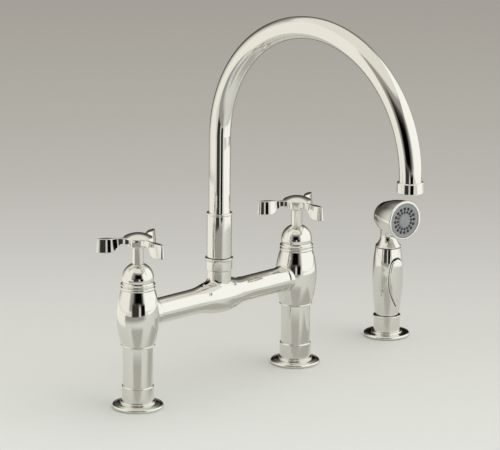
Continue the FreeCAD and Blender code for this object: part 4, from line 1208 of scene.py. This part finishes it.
@dataclass
class Sprayer:
    """Side sprayer in its holder: grip with its lever, and the head with the spray face.

    Attributes:
        x: Place of the sprayer's axis to the right of the middle.
        y: Its place towards the back.
        turn: How far the sprayer faces away from the front, in degrees.
        foot_r: Radius of the grip at foot_z.
        belly_r: Radius of the grip at belly_z, its widest.
        neck_r: Radius of the grip at neck_z, its top.
        head_z: Height of the head's axis.
        front: Distance of the bezel's face from the grip's axis.
        ball_r: Radius of the back of the head.
        lever_proud: How far the lever stands over the grip.
        pocket: Depth of the pocket under it.
        plate_sunk: How far the grey plate lies behind the bezel's face.
        nozzle_base: Depth of the sunk ring that the nozzles stand in.
    """

    x: float = 232.9
    y: float = 3.5
    turn: float = -8.0
    foot_r: float = 11.5
    belly_r: float = 14.45
    neck_r: float = 12.2
    foot_z: float = 22.6
    belly_z: float = 54.0
    neck_z: float = 87.4
    head_z: float = 117.65
    front: float = 24.3
    ball_r: float = 14.3
    lever_proud: float = 1.3
    lever_thick: float = 3.4
    lever_edge: float = 0.8
    pocket: float = 4.6
    pin_z: float = 37.5
    plate_sunk: float = 0.5
    nozzle_base: float = 0.35

    def __post_init__(self) -> None:
        """Work out the place matrices and the grip's arc."""
        turn = Matrix.Rotation(math.radians(self.turn), 4, "Z")
        self.upright = Matrix.Translation((self.x, self.y, 0)) @ turn
        forward = Matrix.Rotation(math.radians(90), 4, "X")
        self.facing = self.upright @ Matrix.Translation((0, 0, self.head_z)) @ forward
        self.arc_r, self.arc_z, self.arc_bend = circle_through(
            (self.foot_r, self.foot_z), (self.belly_r, self.belly_z), (self.neck_r, self.neck_z))

    def grip_r(self, z: float) -> float:
        """Radius of the grip's side at a height."""
        return self.arc_r + math.sqrt(self.arc_bend ** 2 - (z - self.arc_z) ** 2)

    def leaf_line(self, grow: float, top_grow: float, steps: int = 16) -> list[Pair]:
        """Half of the lever's outline, from its tip up its right side to its top.

        Args:
            grow: How much wider than the lever.
            top_grow: How much taller.
            steps: Points on each of its arcs.

        Returns:
            Points of (half width, height).
        """
        tip, wide, shoulder = 31.3 - 2 * grow, 8.2 + grow, 6.0 + grow
        wide_z, shoulder_z, top = 57.0, 73.2, 77.6 + top_grow
        low = (wide * 0.72, tip + (wide_z - tip) * 0.44)
        high = ((wide + shoulder) / 2 + 0.6, (wide_z + shoulder_z) / 2)
        line = [(0.0, tip)] + arc((0, tip), low, (wide, wide_z), steps)
        line += arc((wide, wide_z), high, (shoulder, shoulder_z), steps)
        return line + arc((shoulder, shoulder_z), (0.0, top), (-shoulder, shoulder_z), 2 * steps)[:steps]

    def on_grip(self, x: float, z: float, proud: float) -> Vector:
        """Point over the grip's side at a place seen from the front.

        Args:
            x: Distance to the side.
            z: Height.
            proud: Distance over the grip's side.

        Returns:
            The point, in front of the axis.
        """
        r = self.grip_r(z) + proud
        return Vector((x, -math.sqrt(max(r * r - x * x, 0.01)), z))

    def grip(self) -> Shape:
        """Swelling grip with the pocket that the lever lies in."""
        middle, half_a, half_z, sides, near = 55.0, math.radians(52.5), 28.0, 96, 1e-9
        edge: list[tuple[float, float, float]] = []       # bearing, angle and height round the pocket
        for x, z in self.leaf_line(0.6, 1.6):
            angle = math.asin(x / self.grip_r(z))
            edge.append((math.atan2((z - middle) / half_z, angle / half_a), angle, z))

        def hole(bearing: float) -> Pair:
            """Edge of the pocket for a bearing from the window's middle."""
            b = bearing if abs(bearing) <= math.pi / 2 else math.copysign(math.pi, bearing) - bearing
            sign = 1 if abs(bearing) <= math.pi / 2 else -1
            for (b0, a0, z0), (b1, a1, z1) in zip(edge, edge[1:]):
                if b0 - near <= b <= b1 + near:
                    t = (b - b0) / (b1 - b0)
                    return sign * (a0 + (a1 - a0) * t), z0 + (z1 - z0) * t
            return (0.0, edge[-1][2]) if b > 0 else (0.0, edge[0][2])

        def skin(angle: float, z: float) -> Vector:
            """Point of the grip's side."""
            r = self.grip_r(z)
            return Vector((r * math.sin(angle), -r * math.cos(angle), z))

        stations = [22.9, 23.3, 24.5, 26.0] + [27.0 + i * 2.0 for i in range(29)] + [84.4, 86.0, 87.0, 87.4]
        angles = even_angles(sides)
        shape, last, _ = PiercedSkin(skin, angles, stations, (34, 62, 4, 32), hole, 6).build()
        rim = [shape.points[i] for i in last]
        # rounded lip of the pocket, its wall and its floor
        for inset, drop in ((0.12, 0.06), (0.18, 0.3), (0.18, self.pocket)):
            ring = []
            for p in rim:
                lean = 1 - inset / max(abs(p.x), 1.0) if abs(p.x) > 0.2 else 1.0
                z = p.z + (inset if p.z < middle else -inset) * 0.5
                ring.append(self.on_grip(p.x * lean, z, -drop))
            last = shape.grow(last, ring)
        count = len(last)
        start = min(range(count), key=lambda i: shape.points[last[i]].z)
        order = last[start:] + last[:start]
        for i in range(count // 2):
            face = dict.fromkeys((order[i], order[i + 1], order[count - i - 1], order[-i]))
            if len(face) > 2:
                shape.close(list(face))
        # foot and tail below, flat top above
        last = list(range(sides))
        foot, tail = self.foot_r, 9.4
        for r, z in ((foot - 0.05, 22.3), (foot - 0.5, 21.5), (10.2, 21.4), (tail, 21.3), (tail, -7.6),
                     (9.0, -8.0)):
            last = shape.grow(last, [Vector((r * math.sin(a), -r * math.cos(a), z)) for a in angles])
        shape.close(last)
        shape.close(range((len(stations) - 1) * sides, len(stations) * sides))
        return shape

    def lever(self) -> Shape:
        """Leaf-shaped lever that follows the grip, its edges rounded."""
        right = self.leaf_line(0.0, 0.0, 18)
        outline = right + [(-x, z) for x, z in reversed(right[1:-1])]
        count = len(outline)
        shape, rows, e = Shape(), [], self.lever_edge

        def inset_line(inset: float) -> list[Pair]:
            """The outline moved in by a distance."""
            moved = []
            for i, (x, z) in enumerate(outline):
                before, after = outline[i - 1], outline[(i + 1) % count]
                along = Vector((after[0] - before[0], after[1] - before[1])).normalized()
                moved.append((x - along.y * inset, z + along.x * inset))
            return moved

        plans = [(e * (1 - math.sin(a)), self.lever_proud - e * (1 - math.cos(a)))
                 for a in (math.radians(90 * i / 5) for i in range(6))]
        plans.append((0.0, self.lever_proud - self.lever_thick))
        for inset, proud in plans:
            rows.append(shape.add_loop([self.on_grip(x, z, proud) for x, z in inset_line(inset)]))
        for one, other in zip(rows, rows[1:]):
            shape.bridge(one, other)
        across = 10
        for row, proud, line in ((rows[0], plans[0][1], inset_line(plans[0][0])),
                                 (rows[-1], plans[-1][1], inset_line(0.0))):
            strips = []
            for i in range(1, count // 2):
                (x0, z0), (x1, z1) = line[i], line[count - i]
                inner = [self.on_grip(x0 + (x1 - x0) * k / across, z0 + (z1 - z0) * k / across, proud)
                         for k in range(1, across)]
                strips.append([row[i]] + shape.add_loop(inner) + [row[count - i]])
            for one, other in zip(strips, strips[1:]):
                shape.bridge(one, other, closed=False)
            for end, strip in ((row[0], strips[0]), (row[count // 2], strips[-1])):
                for k in range(across):
                    shape.faces.append((end, strip[k], strip[k + 1]))
        half, r = 2.2, 2.3
        lug = turned([(0, -half), (r, -half), (r, half), (0, half)], 0.2, 24)
        side = Matrix.Translation((0, -9.0, self.pin_z)) @ Matrix.Rotation(math.radians(90), 4, "Y")
        return shape + lug.moved(side)

    def head(self) -> tuple[Shape, Shape]:
        """Skirt with its throat, and the bell that opens from a ball to the spray face.

        Returns:
            The upright part and the part that faces the sink.
        """
        low, skirt_r, throat_r, throat_z, hollow = self.neck_z + 0.6, 12.3, 7.5, 101.0, 1.6
        foot, throat = Vector((skirt_r, low + 1.0)), Vector((throat_r, throat_z))
        side = throat - foot
        middle = (foot + throat) / 2 + Vector((-side.y, side.x)).normalized() * hollow
        path: list[Pair] = [(0, low), (skirt_r, low), tuple(foot)]
        path += arc(tuple(foot), tuple(middle), tuple(throat), 14)
        neck = turned(path + [(throat_r, self.head_z - 6), (0, self.head_z - 6)], 0.3, 96)
        turn, ball = math.radians(77), self.ball_r
        start_r, start = ball * math.sin(turn), ball * math.cos(turn)
        front, rim, inner = self.front - 2.2, 18.9, 16.9
        path = [(0, -ball)]
        path += arc(path[0], (ball * math.sin(turn / 2), -ball * math.cos(turn / 2)), (start_r, -start), 20)
        path += arc(path[-1], (17.4, (front - start) / 2 - 1.0), (rim, front), 18)
        bell = turned(path + [(inner, front), (inner, front - 5), (0, front - 5)], 0.15)
        return neck, bell

    def holder(self) -> Shape:
        """Holder's shank under the deck and its guide with a rounded collar above."""
        bore, root, shank, r, collar, top = 9.9, 11.3, 12.0, 12.7, 13.3, 20.6
        return turned([(bore, -58), (11.0, -58), (root, -57.3), (root, -12), (shank, -12), (shank, 4.6),
                       (r, 4.6), (r, 18.3), (collar, 18.8), (collar, 20.1), (12.8, top), (10.4, top),
                       (bore, 20.1)], 0.25)

    def bezel(self) -> Shape:
        """Ring round the spray face, with a lip that turns in."""
        front, outer, seat = self.front, 19.1, 17.1
        path: list[Pair] = [(seat, front - 2.2), (outer, front - 2.2)]
        path += arc(path[-1], (outer + 0.2, front - 1.1), (18.7, front), 6)
        return turned(path + [(17.3, front), (16.7, front - 0.35), (seat, front - 0.45)], 0.25)

    def plate(self) -> Shape:
        """Grey plate with a sunk ring for the nozzles and a raised middle."""
        z, base = self.front - self.plate_sunk, self.nozzle_base
        back, step, r, inner = z - 3.4, z - 1.7, 17.0, 15.0
        return turned([(0, back), (inner, back), (inner, step), (r, step), (r, z - 0.4), (16.4, z), (13.2, z),
                       (12.9, z - base), (6.6, z - base), (6.2, z + 0.25), (0, z + 0.3)], 0.25)

    def build(self, workshop: Workshop, threads: bpy.types.NodeTree, studs: bpy.types.NodeTree) -> None:
        """Make and place the sprayer's pieces.

        Args:
            workshop: Makes the pieces.
            threads: The thread's node tree.
            studs: The node tree of rings of studs.
        """
        flange = turned(flange_path(rim_r=22.4, height=4.6, step_r=14.6, hole_r=12.1), 0.2)
        workshop.place(flange.moved(self.upright), "holder_flange_turned", "deck_set", "holder_flange")
        thread = TreeStep(threads, {"Radius": 11.3, "Pitch": THREAD_PITCH, "Length": 42.0, "Start": -56.5,
                                    "Ridge": 0.6})
        workshop.grown(self.holder(), "sprayer_holder_threaded", "deck_set", "sprayer_holder", steps=[thread],
                       at=Matrix.Translation((self.x, self.y, 0)))
        neck, bell = self.head()
        head = neck.moved(self.upright) + bell.moved(self.facing)
        for shape, name, body, node in (
                (self.grip().moved(self.upright), "sprayer_grip_swelling", "sprayer", "sprayer_grip"),
                (self.lever().moved(self.upright), "spray_lever_leaf", "lever", "spray_lever"),
                (head, "sprayer_head_bell", "sprayer", "sprayer_head"),
                (self.bezel().moved(self.facing), "spray_bezel_ring", "sprayer", "spray_bezel")):
            workshop.place(shape, name, body, node)
        plate = self.plate().moved(self.facing)
        workshop.place(plate, "spray_plate", "sprayer", "spray_face", slot=Slot.PLASTIC)
        plate_z = self.front - self.plate_sunk
        level = plate_z - self.nozzle_base
        rings = [TreeStep(studs, {"Count": 16, "Ring": ring, "Base": base, "Tip": 0.6 * base,
                                  "Height": 0.8, "Level": level}) for ring, base in ((8.3, 1.2), (11.5, 1.5))]
        workshop.grown(Shape([Vector((0, 0, plate_z))]), "spray_nozzles", "sprayer", steps=rings,
                       slot=Slot.RUBBER, at=self.facing)


# -------- studio

CAMERA_BEARING = -134.3
MIDDLE: Pair = (0.04, -0.03)


def disc(centre: Sequence[float], radius: float, rings: int, sides: int) -> tuple[list, list]:
    """Level disc of rings round a centre point.

    Args:
        centre: Its middle.
        radius: Its radius.
        rings: Rings of points.
        sides: Points on each ring.

    Returns:
        Its points, from the middle out, and its faces.
    """
    x, y, z = centre
    points, faces = [(x, y, z)], [(0, 1 + i, 1 + (i + 1) % sides) for i in range(sides)]
    for j in range(1, rings + 1):
        r = radius * j / rings
        turns = [math.tau * i / sides for i in range(sides)]
        points += [(x + r * math.cos(a), y + r * math.sin(a), z) for a in turns]
    for j in range(rings - 1):
        low, high = 1 + j * sides, 1 + (j + 1) * sides
        faces += [(low + i, low + (i + 1) % sides, high + (i + 1) % sides, high + i) for i in range(sides)]
    return points, faces


@dataclass
class Card:
    """A soft-edged panel that stands or lies round the object and is seen only in reflections.

    Attributes:
        name: Its name.
        colour: Its colour.
        strength: How bright it is.
        bearing: First and last bearing, in degrees to the right of the camera's side.
        level: Lower and upper edge, or nearest and farthest where it lies on the floor, in metres.
        distance: Distance from the middle of the object, in metres.
        fade: Width of the soft edge at the first and last bearing, the lower and the upper edge.
        flat: Whether it is flat rather than curved round the object.
        lying: Whether it lies on the floor.
        centre: Point that its bearings are taken from, in metres.
    """

    name: str
    colour: str
    strength: float
    bearing: Pair
    level: Pair
    distance: float
    fade: tuple[float, float, float, float]
    flat: bool = False
    lying: bool = False
    centre: Pair = MIDDLE

    def cover(self, along: float, width: float, up: float) -> float:
        """How solid the card is at a place on it.

        Args:
            along: Distance from its first edge, in metres.
            width: Its width, in metres.
            up: Its level there, in metres.

        Returns:
            One inside and nothing at its edges.
        """
        depths = (along, width - along, up - self.level[0], self.level[1] - up)
        return math.prod(ease(depth / fade) for depth, fade in zip(depths, self.fade))

    def build(self, lift: float) -> None:
        """Make the card as a grid.

        Args:
            lift: Height over the floor of one that lies there, in metres.
        """
        (z0, z1), (first, last) = self.level, self.bearing
        across, up = 120, 80
        middle, half = (first + last) / 2, math.radians(last - first) / 2
        points, cover = [], []
        for j in range(up + 1):
            z = z0 + (z1 - z0) * j / up
            for i in range(across + 1):
                turn = half * (2 * i / across - 1)
                far, height = (z, lift) if self.lying else (self.distance, z)
                along, width = (turn + half) * far, 2 * half * far
                if self.flat:
                    along, width = (math.tan(turn) + math.tan(half)) * far, 2 * math.tan(half) * far
                    far /= math.cos(turn)
                a = math.radians(middle + CAMERA_BEARING) + turn
                points.append((self.centre[0] + far * math.cos(a), self.centre[1] + far * math.sin(a), height))
                cover.append(self.cover(along, width, z))
        wide = across + 1
        faces = [(j * wide + i, j * wide + i + 1, (j + 1) * wide + i + 1, (j + 1) * wide + i)
                 for j in range(up) for i in range(across)]
        make_panel(self.name, points, faces, cover, self.colour, self.strength)


@dataclass
class CeilingPanel:
    """A soft round panel overhead, seen only in reflections."""

    name: str
    colour: str
    strength: float
    centre: tuple[float, float, float]
    radius: float
    feather: float

    def build(self) -> None:
        """Make the panel as a disc of rings."""
        rings, sides = 24, 64
        points, faces = disc(self.centre, self.radius, rings, sides)
        cover = [1.0]
        for j in range(1, rings + 1):
            cover += [ease((self.radius - self.radius * j / rings) / self.feather)] * sides
        make_panel(self.name, points, faces, cover, self.colour, self.strength)


def make_panel(name: str, points: list, faces: list, cover: list[float], colour: str, strength: float) -> None:
    """Make a studio panel that only mirrors see.

    Args:
        name: Its name.
        points: Points in metres.
        faces: Faces.
        cover: How solid it is at each point.
        colour: Its colour.
        strength: Its brightness.
    """
    mesh = bpy.data.meshes.new(name)
    mesh.from_pydata(points, [], faces)
    solid = mesh.attributes.new("cover", "FLOAT", "POINT")
    solid.data.foreach_set("value", cover)
    material = bpy.data.materials.new(name)
    tree = bare_tree(material)
    share = add(tree, "ShaderNodeAttribute", attribute_name="cover").outputs["Fac"]
    clear = add(tree, "ShaderNodeBsdfTransparent")
    glow = add(tree, "ShaderNodeEmission", None, {"Color": linear(colour), "Strength": strength})
    both = add(tree, "ShaderNodeMixShader", {0: share, 1: clear.outputs[0], 2: glow.outputs[0]})
    add(tree, "ShaderNodeOutputMaterial", {"Surface": both.outputs[0]})
    mesh.materials.append(material)
    panel = new_object(name, mesh)
    panel.visible_camera = False
    panel.visible_diffuse = False
    panel.visible_transmission = False
    panel.visible_shadow = False


@dataclass
class Studio:
    """Pale floor with a painted pool of light that fades outwards, plain light and what the mirror finish
    shows.

    Attributes:
        floor_stops: Distance from the spot in metres, and the floor's colour there, which darkens outwards as
            painted light falloff.
        spot: Middle of the painted pool of light, a little in front of the object.
    """

    spot: Pair = (-0.63, -0.64)
    # painted light: the floor's colour darkens with distance from the spot, standing in for light that falls
    # off away from the object
    floor_stops: tuple[tuple[float, str], ...] = (
        (0.6, "#EAEBE6"), (0.72, "#E9EAE5"), (0.84, "#E6E7E0"), (0.98, "#E2E2DC"),
        (1.19, "#D9D8D3"), (1.43, "#CDCBC6"), (1.71, "#C1BEB9"), (2.03, "#B8B5AE"),
        (2.41, "#B0ADA5"), (2.83, "#AAA59F"), (3.3, "#A6A19B"))
    reach: float = 3.4

    def floor(self) -> None:
        """Round floor with its top face on the deck's level."""
        mesh = bpy.data.meshes.new("studio_floor")
        points, faces = disc((0.0, 0.0, 0.0), 14.0, rings=1, sides=96)
        mesh.from_pydata(points, [], faces)
        material = bpy.data.materials.new("matt_floor_with_painted_falloff")
        tree = bare_tree(material)
        place = add(tree, "ShaderNodeTexCoord").outputs["Object"]
        shift = add(tree, "ShaderNodeVectorMath", {0: place}, {1: (-self.spot[0], -self.spot[1], 0)},
                    operation="ADD")
        far = add(tree, "ShaderNodeVectorMath", {0: shift.outputs[0]}, operation="LENGTH")
        share = add(tree, "ShaderNodeMath", {0: far.outputs["Value"]}, {1: self.reach}, operation="DIVIDE")
        # painted light falloff: the colour darkens with distance from the spot
        ramp = add(tree, "ShaderNodeValToRGB", {"Fac": share.outputs[0]})
        stops = ramp.color_ramp.elements
        while len(stops) < len(self.floor_stops):
            stops.new(0.5)
        for stop, (distance, colour) in zip(stops, self.floor_stops):
            stop.position = distance / self.reach
            stop.color = linear(colour)
        tooth = add(tree, "ShaderNodeTexNoise", {"Vector": place}, {"Scale": 900.0, "Detail": 2.0})
        bump = add(tree, "ShaderNodeBump", {"Height": tooth.outputs["Fac"]},
                   {"Strength": 0.15, "Distance": 0.0003})
        skin = add(tree, "ShaderNodeBsdfPrincipled",
                   {"Base Color": ramp.outputs["Color"], "Normal": bump.outputs[0]},
                   {"Roughness": 0.9, "Specular IOR Level": 0.1})
        add(tree, "ShaderNodeOutputMaterial", {"Surface": skin.outputs[0]})
        mesh.materials.append(material)
        new_object("studio_floor", mesh)

    def world(self) -> None:
        """Even grey surround that also gives the plain fill light."""
        world = bpy.data.worlds.new("studio_world")
        bpy.context.scene.world = world
        tree = bare_tree(world)
        rays = add(tree, "ShaderNodeLightPath").outputs
        seen = rays["Is Camera Ray"]
        for ray in ("Is Glossy Ray", "Is Transmission Ray"):
            seen = add(tree, "ShaderNodeMath", {0: seen, 1: rays[ray]}, operation="MAXIMUM").outputs[0]
        fill = add(tree, "ShaderNodeBackground", None, {"Color": linear("#FFFFFC"), "Strength": 0.66})
        surround = add(tree, "ShaderNodeBackground", None, {"Color": linear("#A5A19A"), "Strength": 1.0})
        both = add(tree, "ShaderNodeMixShader", {0: seen, 1: fill.outputs[0], 2: surround.outputs[0]})
        add(tree, "ShaderNodeOutputWorld", {"Surface": both.outputs[0]})

    def lamp(self, name: str, bearing: float, height: float, spread: float, strength: float) -> None:
        """Far, broad lamp, which mirrors don't show.

        Args:
            name: Its name.
            bearing: Degrees to the right of the camera's side.
            height: Its height in degrees.
            spread: How wide it looks, in degrees.
            strength: Its strength.
        """
        light = bpy.data.lights.new(name, "SUN")
        light.angle = math.radians(spread)
        light.energy = strength
        lamp = new_object(name, light)
        turn, up = math.radians(bearing + CAMERA_BEARING), math.radians(height)
        towards = Vector((math.cos(turn) * math.cos(up), math.sin(turn) * math.cos(up), math.sin(up)))
        lamp.matrix_world = towards.to_track_quat("Z", "Y").to_matrix().to_4x4()
        lamp.visible_glossy = False

    def build(self) -> None:
        """Set up floor, light and cards."""
        self.floor()
        self.world()
        self.lamp("key_lamp", bearing=105.0, height=46.0, spread=85.0, strength=1.2)
        cards = [
            Card("dark_backdrop", "#565450", 1.0, (148.0, 238.0), (0.0, 1.15), 1.2, (0.3, 0.6, 0.02, 0.55)),
            Card("black_behind", "#161513", 1.0, (156.0, 206.0), (0.08, 0.44), 1.1, (0.25, 0.25, 0.06, 0.12)),
            Card("right_softbox", "#FFFFFA", 1.14, (24.0, 152.0), (0.0, 1.25), 0.9, (0.9, 1.1, 0.005, 0.05),
                 flat=True),
            Card("left_softbox", "#FFFDF4", 1.0, (-148.0, -44.0), (0.0, 1.6), 0.85, (0.75, 0.15, 0.005, 0.6)),
            Card("grey_front", "#62605B", 1.0, (-34.0, 22.5), (0.16, 0.7), 0.74, (0.12, 0.05, 0.02, 0.14)),
            Card("light_slit", "#D6D4CD", 1.0, (-9.0, 9.0), (0.0, 0.24), 0.72, (0.02, 0.02, 0.01, 0.08)),
            Card("black_front", "#040404", 1.0, (-41.0, 14.0), (0.1, 0.64), 0.7, (0.28, 0.05, 0.1, 0.24)),
            Card("dark_low_left", "#3A3834", 1.0, (-41.0, -4.5), (0.0, 0.2), 0.69, (0.1, 0.01, 0.005, 0.06)),
            Card("black_low_right", "#0A0A09", 1.0, (5.0, 28.0), (0.0, 0.2), 0.69, (0.01, 0.03, 0.005, 0.06)),
            # The cards that lie on the floor are seen only in reflections and paint how the floor looks there:
            # painted reflections of its sheen, pale towards the softboxes and dark towards the dark cards and
            # backdrop, and painted shade in front of the object
            Card("painted_dark_floor_left", "#3A3834", 1.0, (-41.0, -4.5), (0.6, 0.7), 0.6, (0.1, 0.01, 0.02, 0.005),
                 lying=True),
            Card("painted_black_floor_right", "#1A1918", 1.0, (5.0, 28.0), (0.6, 0.7), 0.6, (0.01, 0.03, 0.02, 0.005),
                 lying=True),
            Card("shaded_floor", "#A3A19B", 1.0, (-66.0, 38.0), (0.3, 0.62), 0.5, (0.02, 0.2, 0.15, 0.02),
                 lying=True, centre=(0.0, 0.0)),
            Card("painted_sheen_floor_left", "#FFFDF4", 1.0, (-140.0, -62.0), (0.32, 0.86), 0.5, (0.1, 0.03, 0.05, 0.02),
                 lying=True),
            Card("painted_sheen_floor_right", "#FFFFFA", 1.12, (36.0, 135.0), (0.53, 0.95), 0.7, (0.15, 0.1, 0.04, 0.02),
                 lying=True),
            Card("painted_dark_floor_behind", "#6A6863", 1.0, (150.0, 210.0), (0.3, 1.2), 0.7, (0.1, 0.1, 0.2, 0.02),
                 lying=True),
        ]
        # These lying cards paint shade on the floor round each foot, seen only in reflections
        for name, x in (("left_foot", -COLUMN_X), ("right_foot", COLUMN_X), ("sprayer_foot", Sprayer.x)):
            cards.append(Card(f"shaded_floor_at_{name}", "#B7B5AE", 1.0, (-40.0, 32.0), (0.0, 0.22), 0.2,
                              (0.03, 0.03, 0.01, 0.08), lying=True, centre=(x / 1000, 0.0)))
        highest, layer_gap = 0.003, 0.0001
        for layer, card in enumerate(cards):
            card.build(highest - layer_gap * layer)
        CeilingPanel("ceiling_panel", "#E6E4DC", 1.12, (0.05, 0.04, 1.35), radius=1.46, feather=0.36).build()


@dataclass
class PhotographersCamera:
    """Long lens at the photograph's viewing angle, for a frame 500 wide and 450 high.

    Attributes:
        turn: Direction of the picture's right-hand side, degrees from +X.
        lift: Height of the camera over the object, in degrees.
        roll: Roll in degrees.
        focal_px: Focal length in pixels.
        frame_px: Width of the frame.
        target: What it looks at.
        distance: How far it is away, in metres.
        sensor: Width of its sensor, in millimetres.
    """

    turn: float = -45.701
    lift: float = 14.108
    roll: float = 0.547
    focal_px: float = 3327.31
    frame_px: float = 500.0
    target: tuple[float, float, float] = (0.039661, 0.0, 0.142787)
    distance: float = 3.03594
    sensor: float = 36.0

    def build(self) -> None:
        """Create the camera and make it the scene's."""
        a, e, roll = (math.radians(v) for v in (self.turn, self.lift, self.roll))
        right = Vector((math.cos(a), math.sin(a), 0))
        back = Vector((math.sin(a) * math.cos(e), -math.cos(a) * math.cos(e), math.sin(e)))
        up = back.cross(right)
        rolled_right = right * math.cos(roll) + up * math.sin(roll)
        rolled_up = up * math.cos(roll) - right * math.sin(roll)
        data = bpy.data.cameras.new("photographers_camera")
        data.sensor_fit = "HORIZONTAL"
        data.sensor_width = self.sensor
        data.lens = self.focal_px * self.sensor / self.frame_px
        data.clip_end = 100.0
        camera = new_object("photographers_camera", data)
        spot = Vector(self.target) + back * self.distance
        facing = Matrix((rolled_right, rolled_up, back)).transposed().to_4x4()
        camera.matrix_world = Matrix.Translation(spot) @ facing
        bpy.context.scene.camera = camera


def dress_inner_parts(finishes: dict[Slot, bpy.types.Material]) -> None:
    """Give each solid that stays its finish, by the record's slots.

    Args:
        finishes: The materials by slot.
    """
    slots = {part["node"]: Slot(part["material_slot"]) for part in frame["record"]["subparts"]}
    for name, node in frame["nodes"].items():
        slot = slots[name]
        node.data.materials.clear()
        node.data.materials.append(finishes[slot])
        LOG.info("%s keeps its solid, in %s", name, slot.value)


def main() -> None:
    """Build the faucet's pieces, the studio and the camera in order."""
    logging.basicConfig(level=logging.INFO, format="%(message)s")
    PhotographersCamera().build()
    bpy.context.scene.view_settings.view_transform = "Standard"
    finishes = {slot: finish.material() for slot, finish in FINISHES.items()}
    workshop = Workshop(finishes)
    dress_inner_parts(finishes)
    threads, studs = thread_tree(), studs_tree()
    for side, x in (("left", -COLUMN_X), ("right", COLUMN_X)):
        Column(side, x).build(workshop, threads)
        CrossHandle(side, x).build(workshop)
    Bridge().build(workshop)
    Spout().build(workshop, gooseneck_tree(), studs)
    Sprayer().build(workshop, threads, studs)
    Studio().build()


if __name__ == "__main__":
    main()
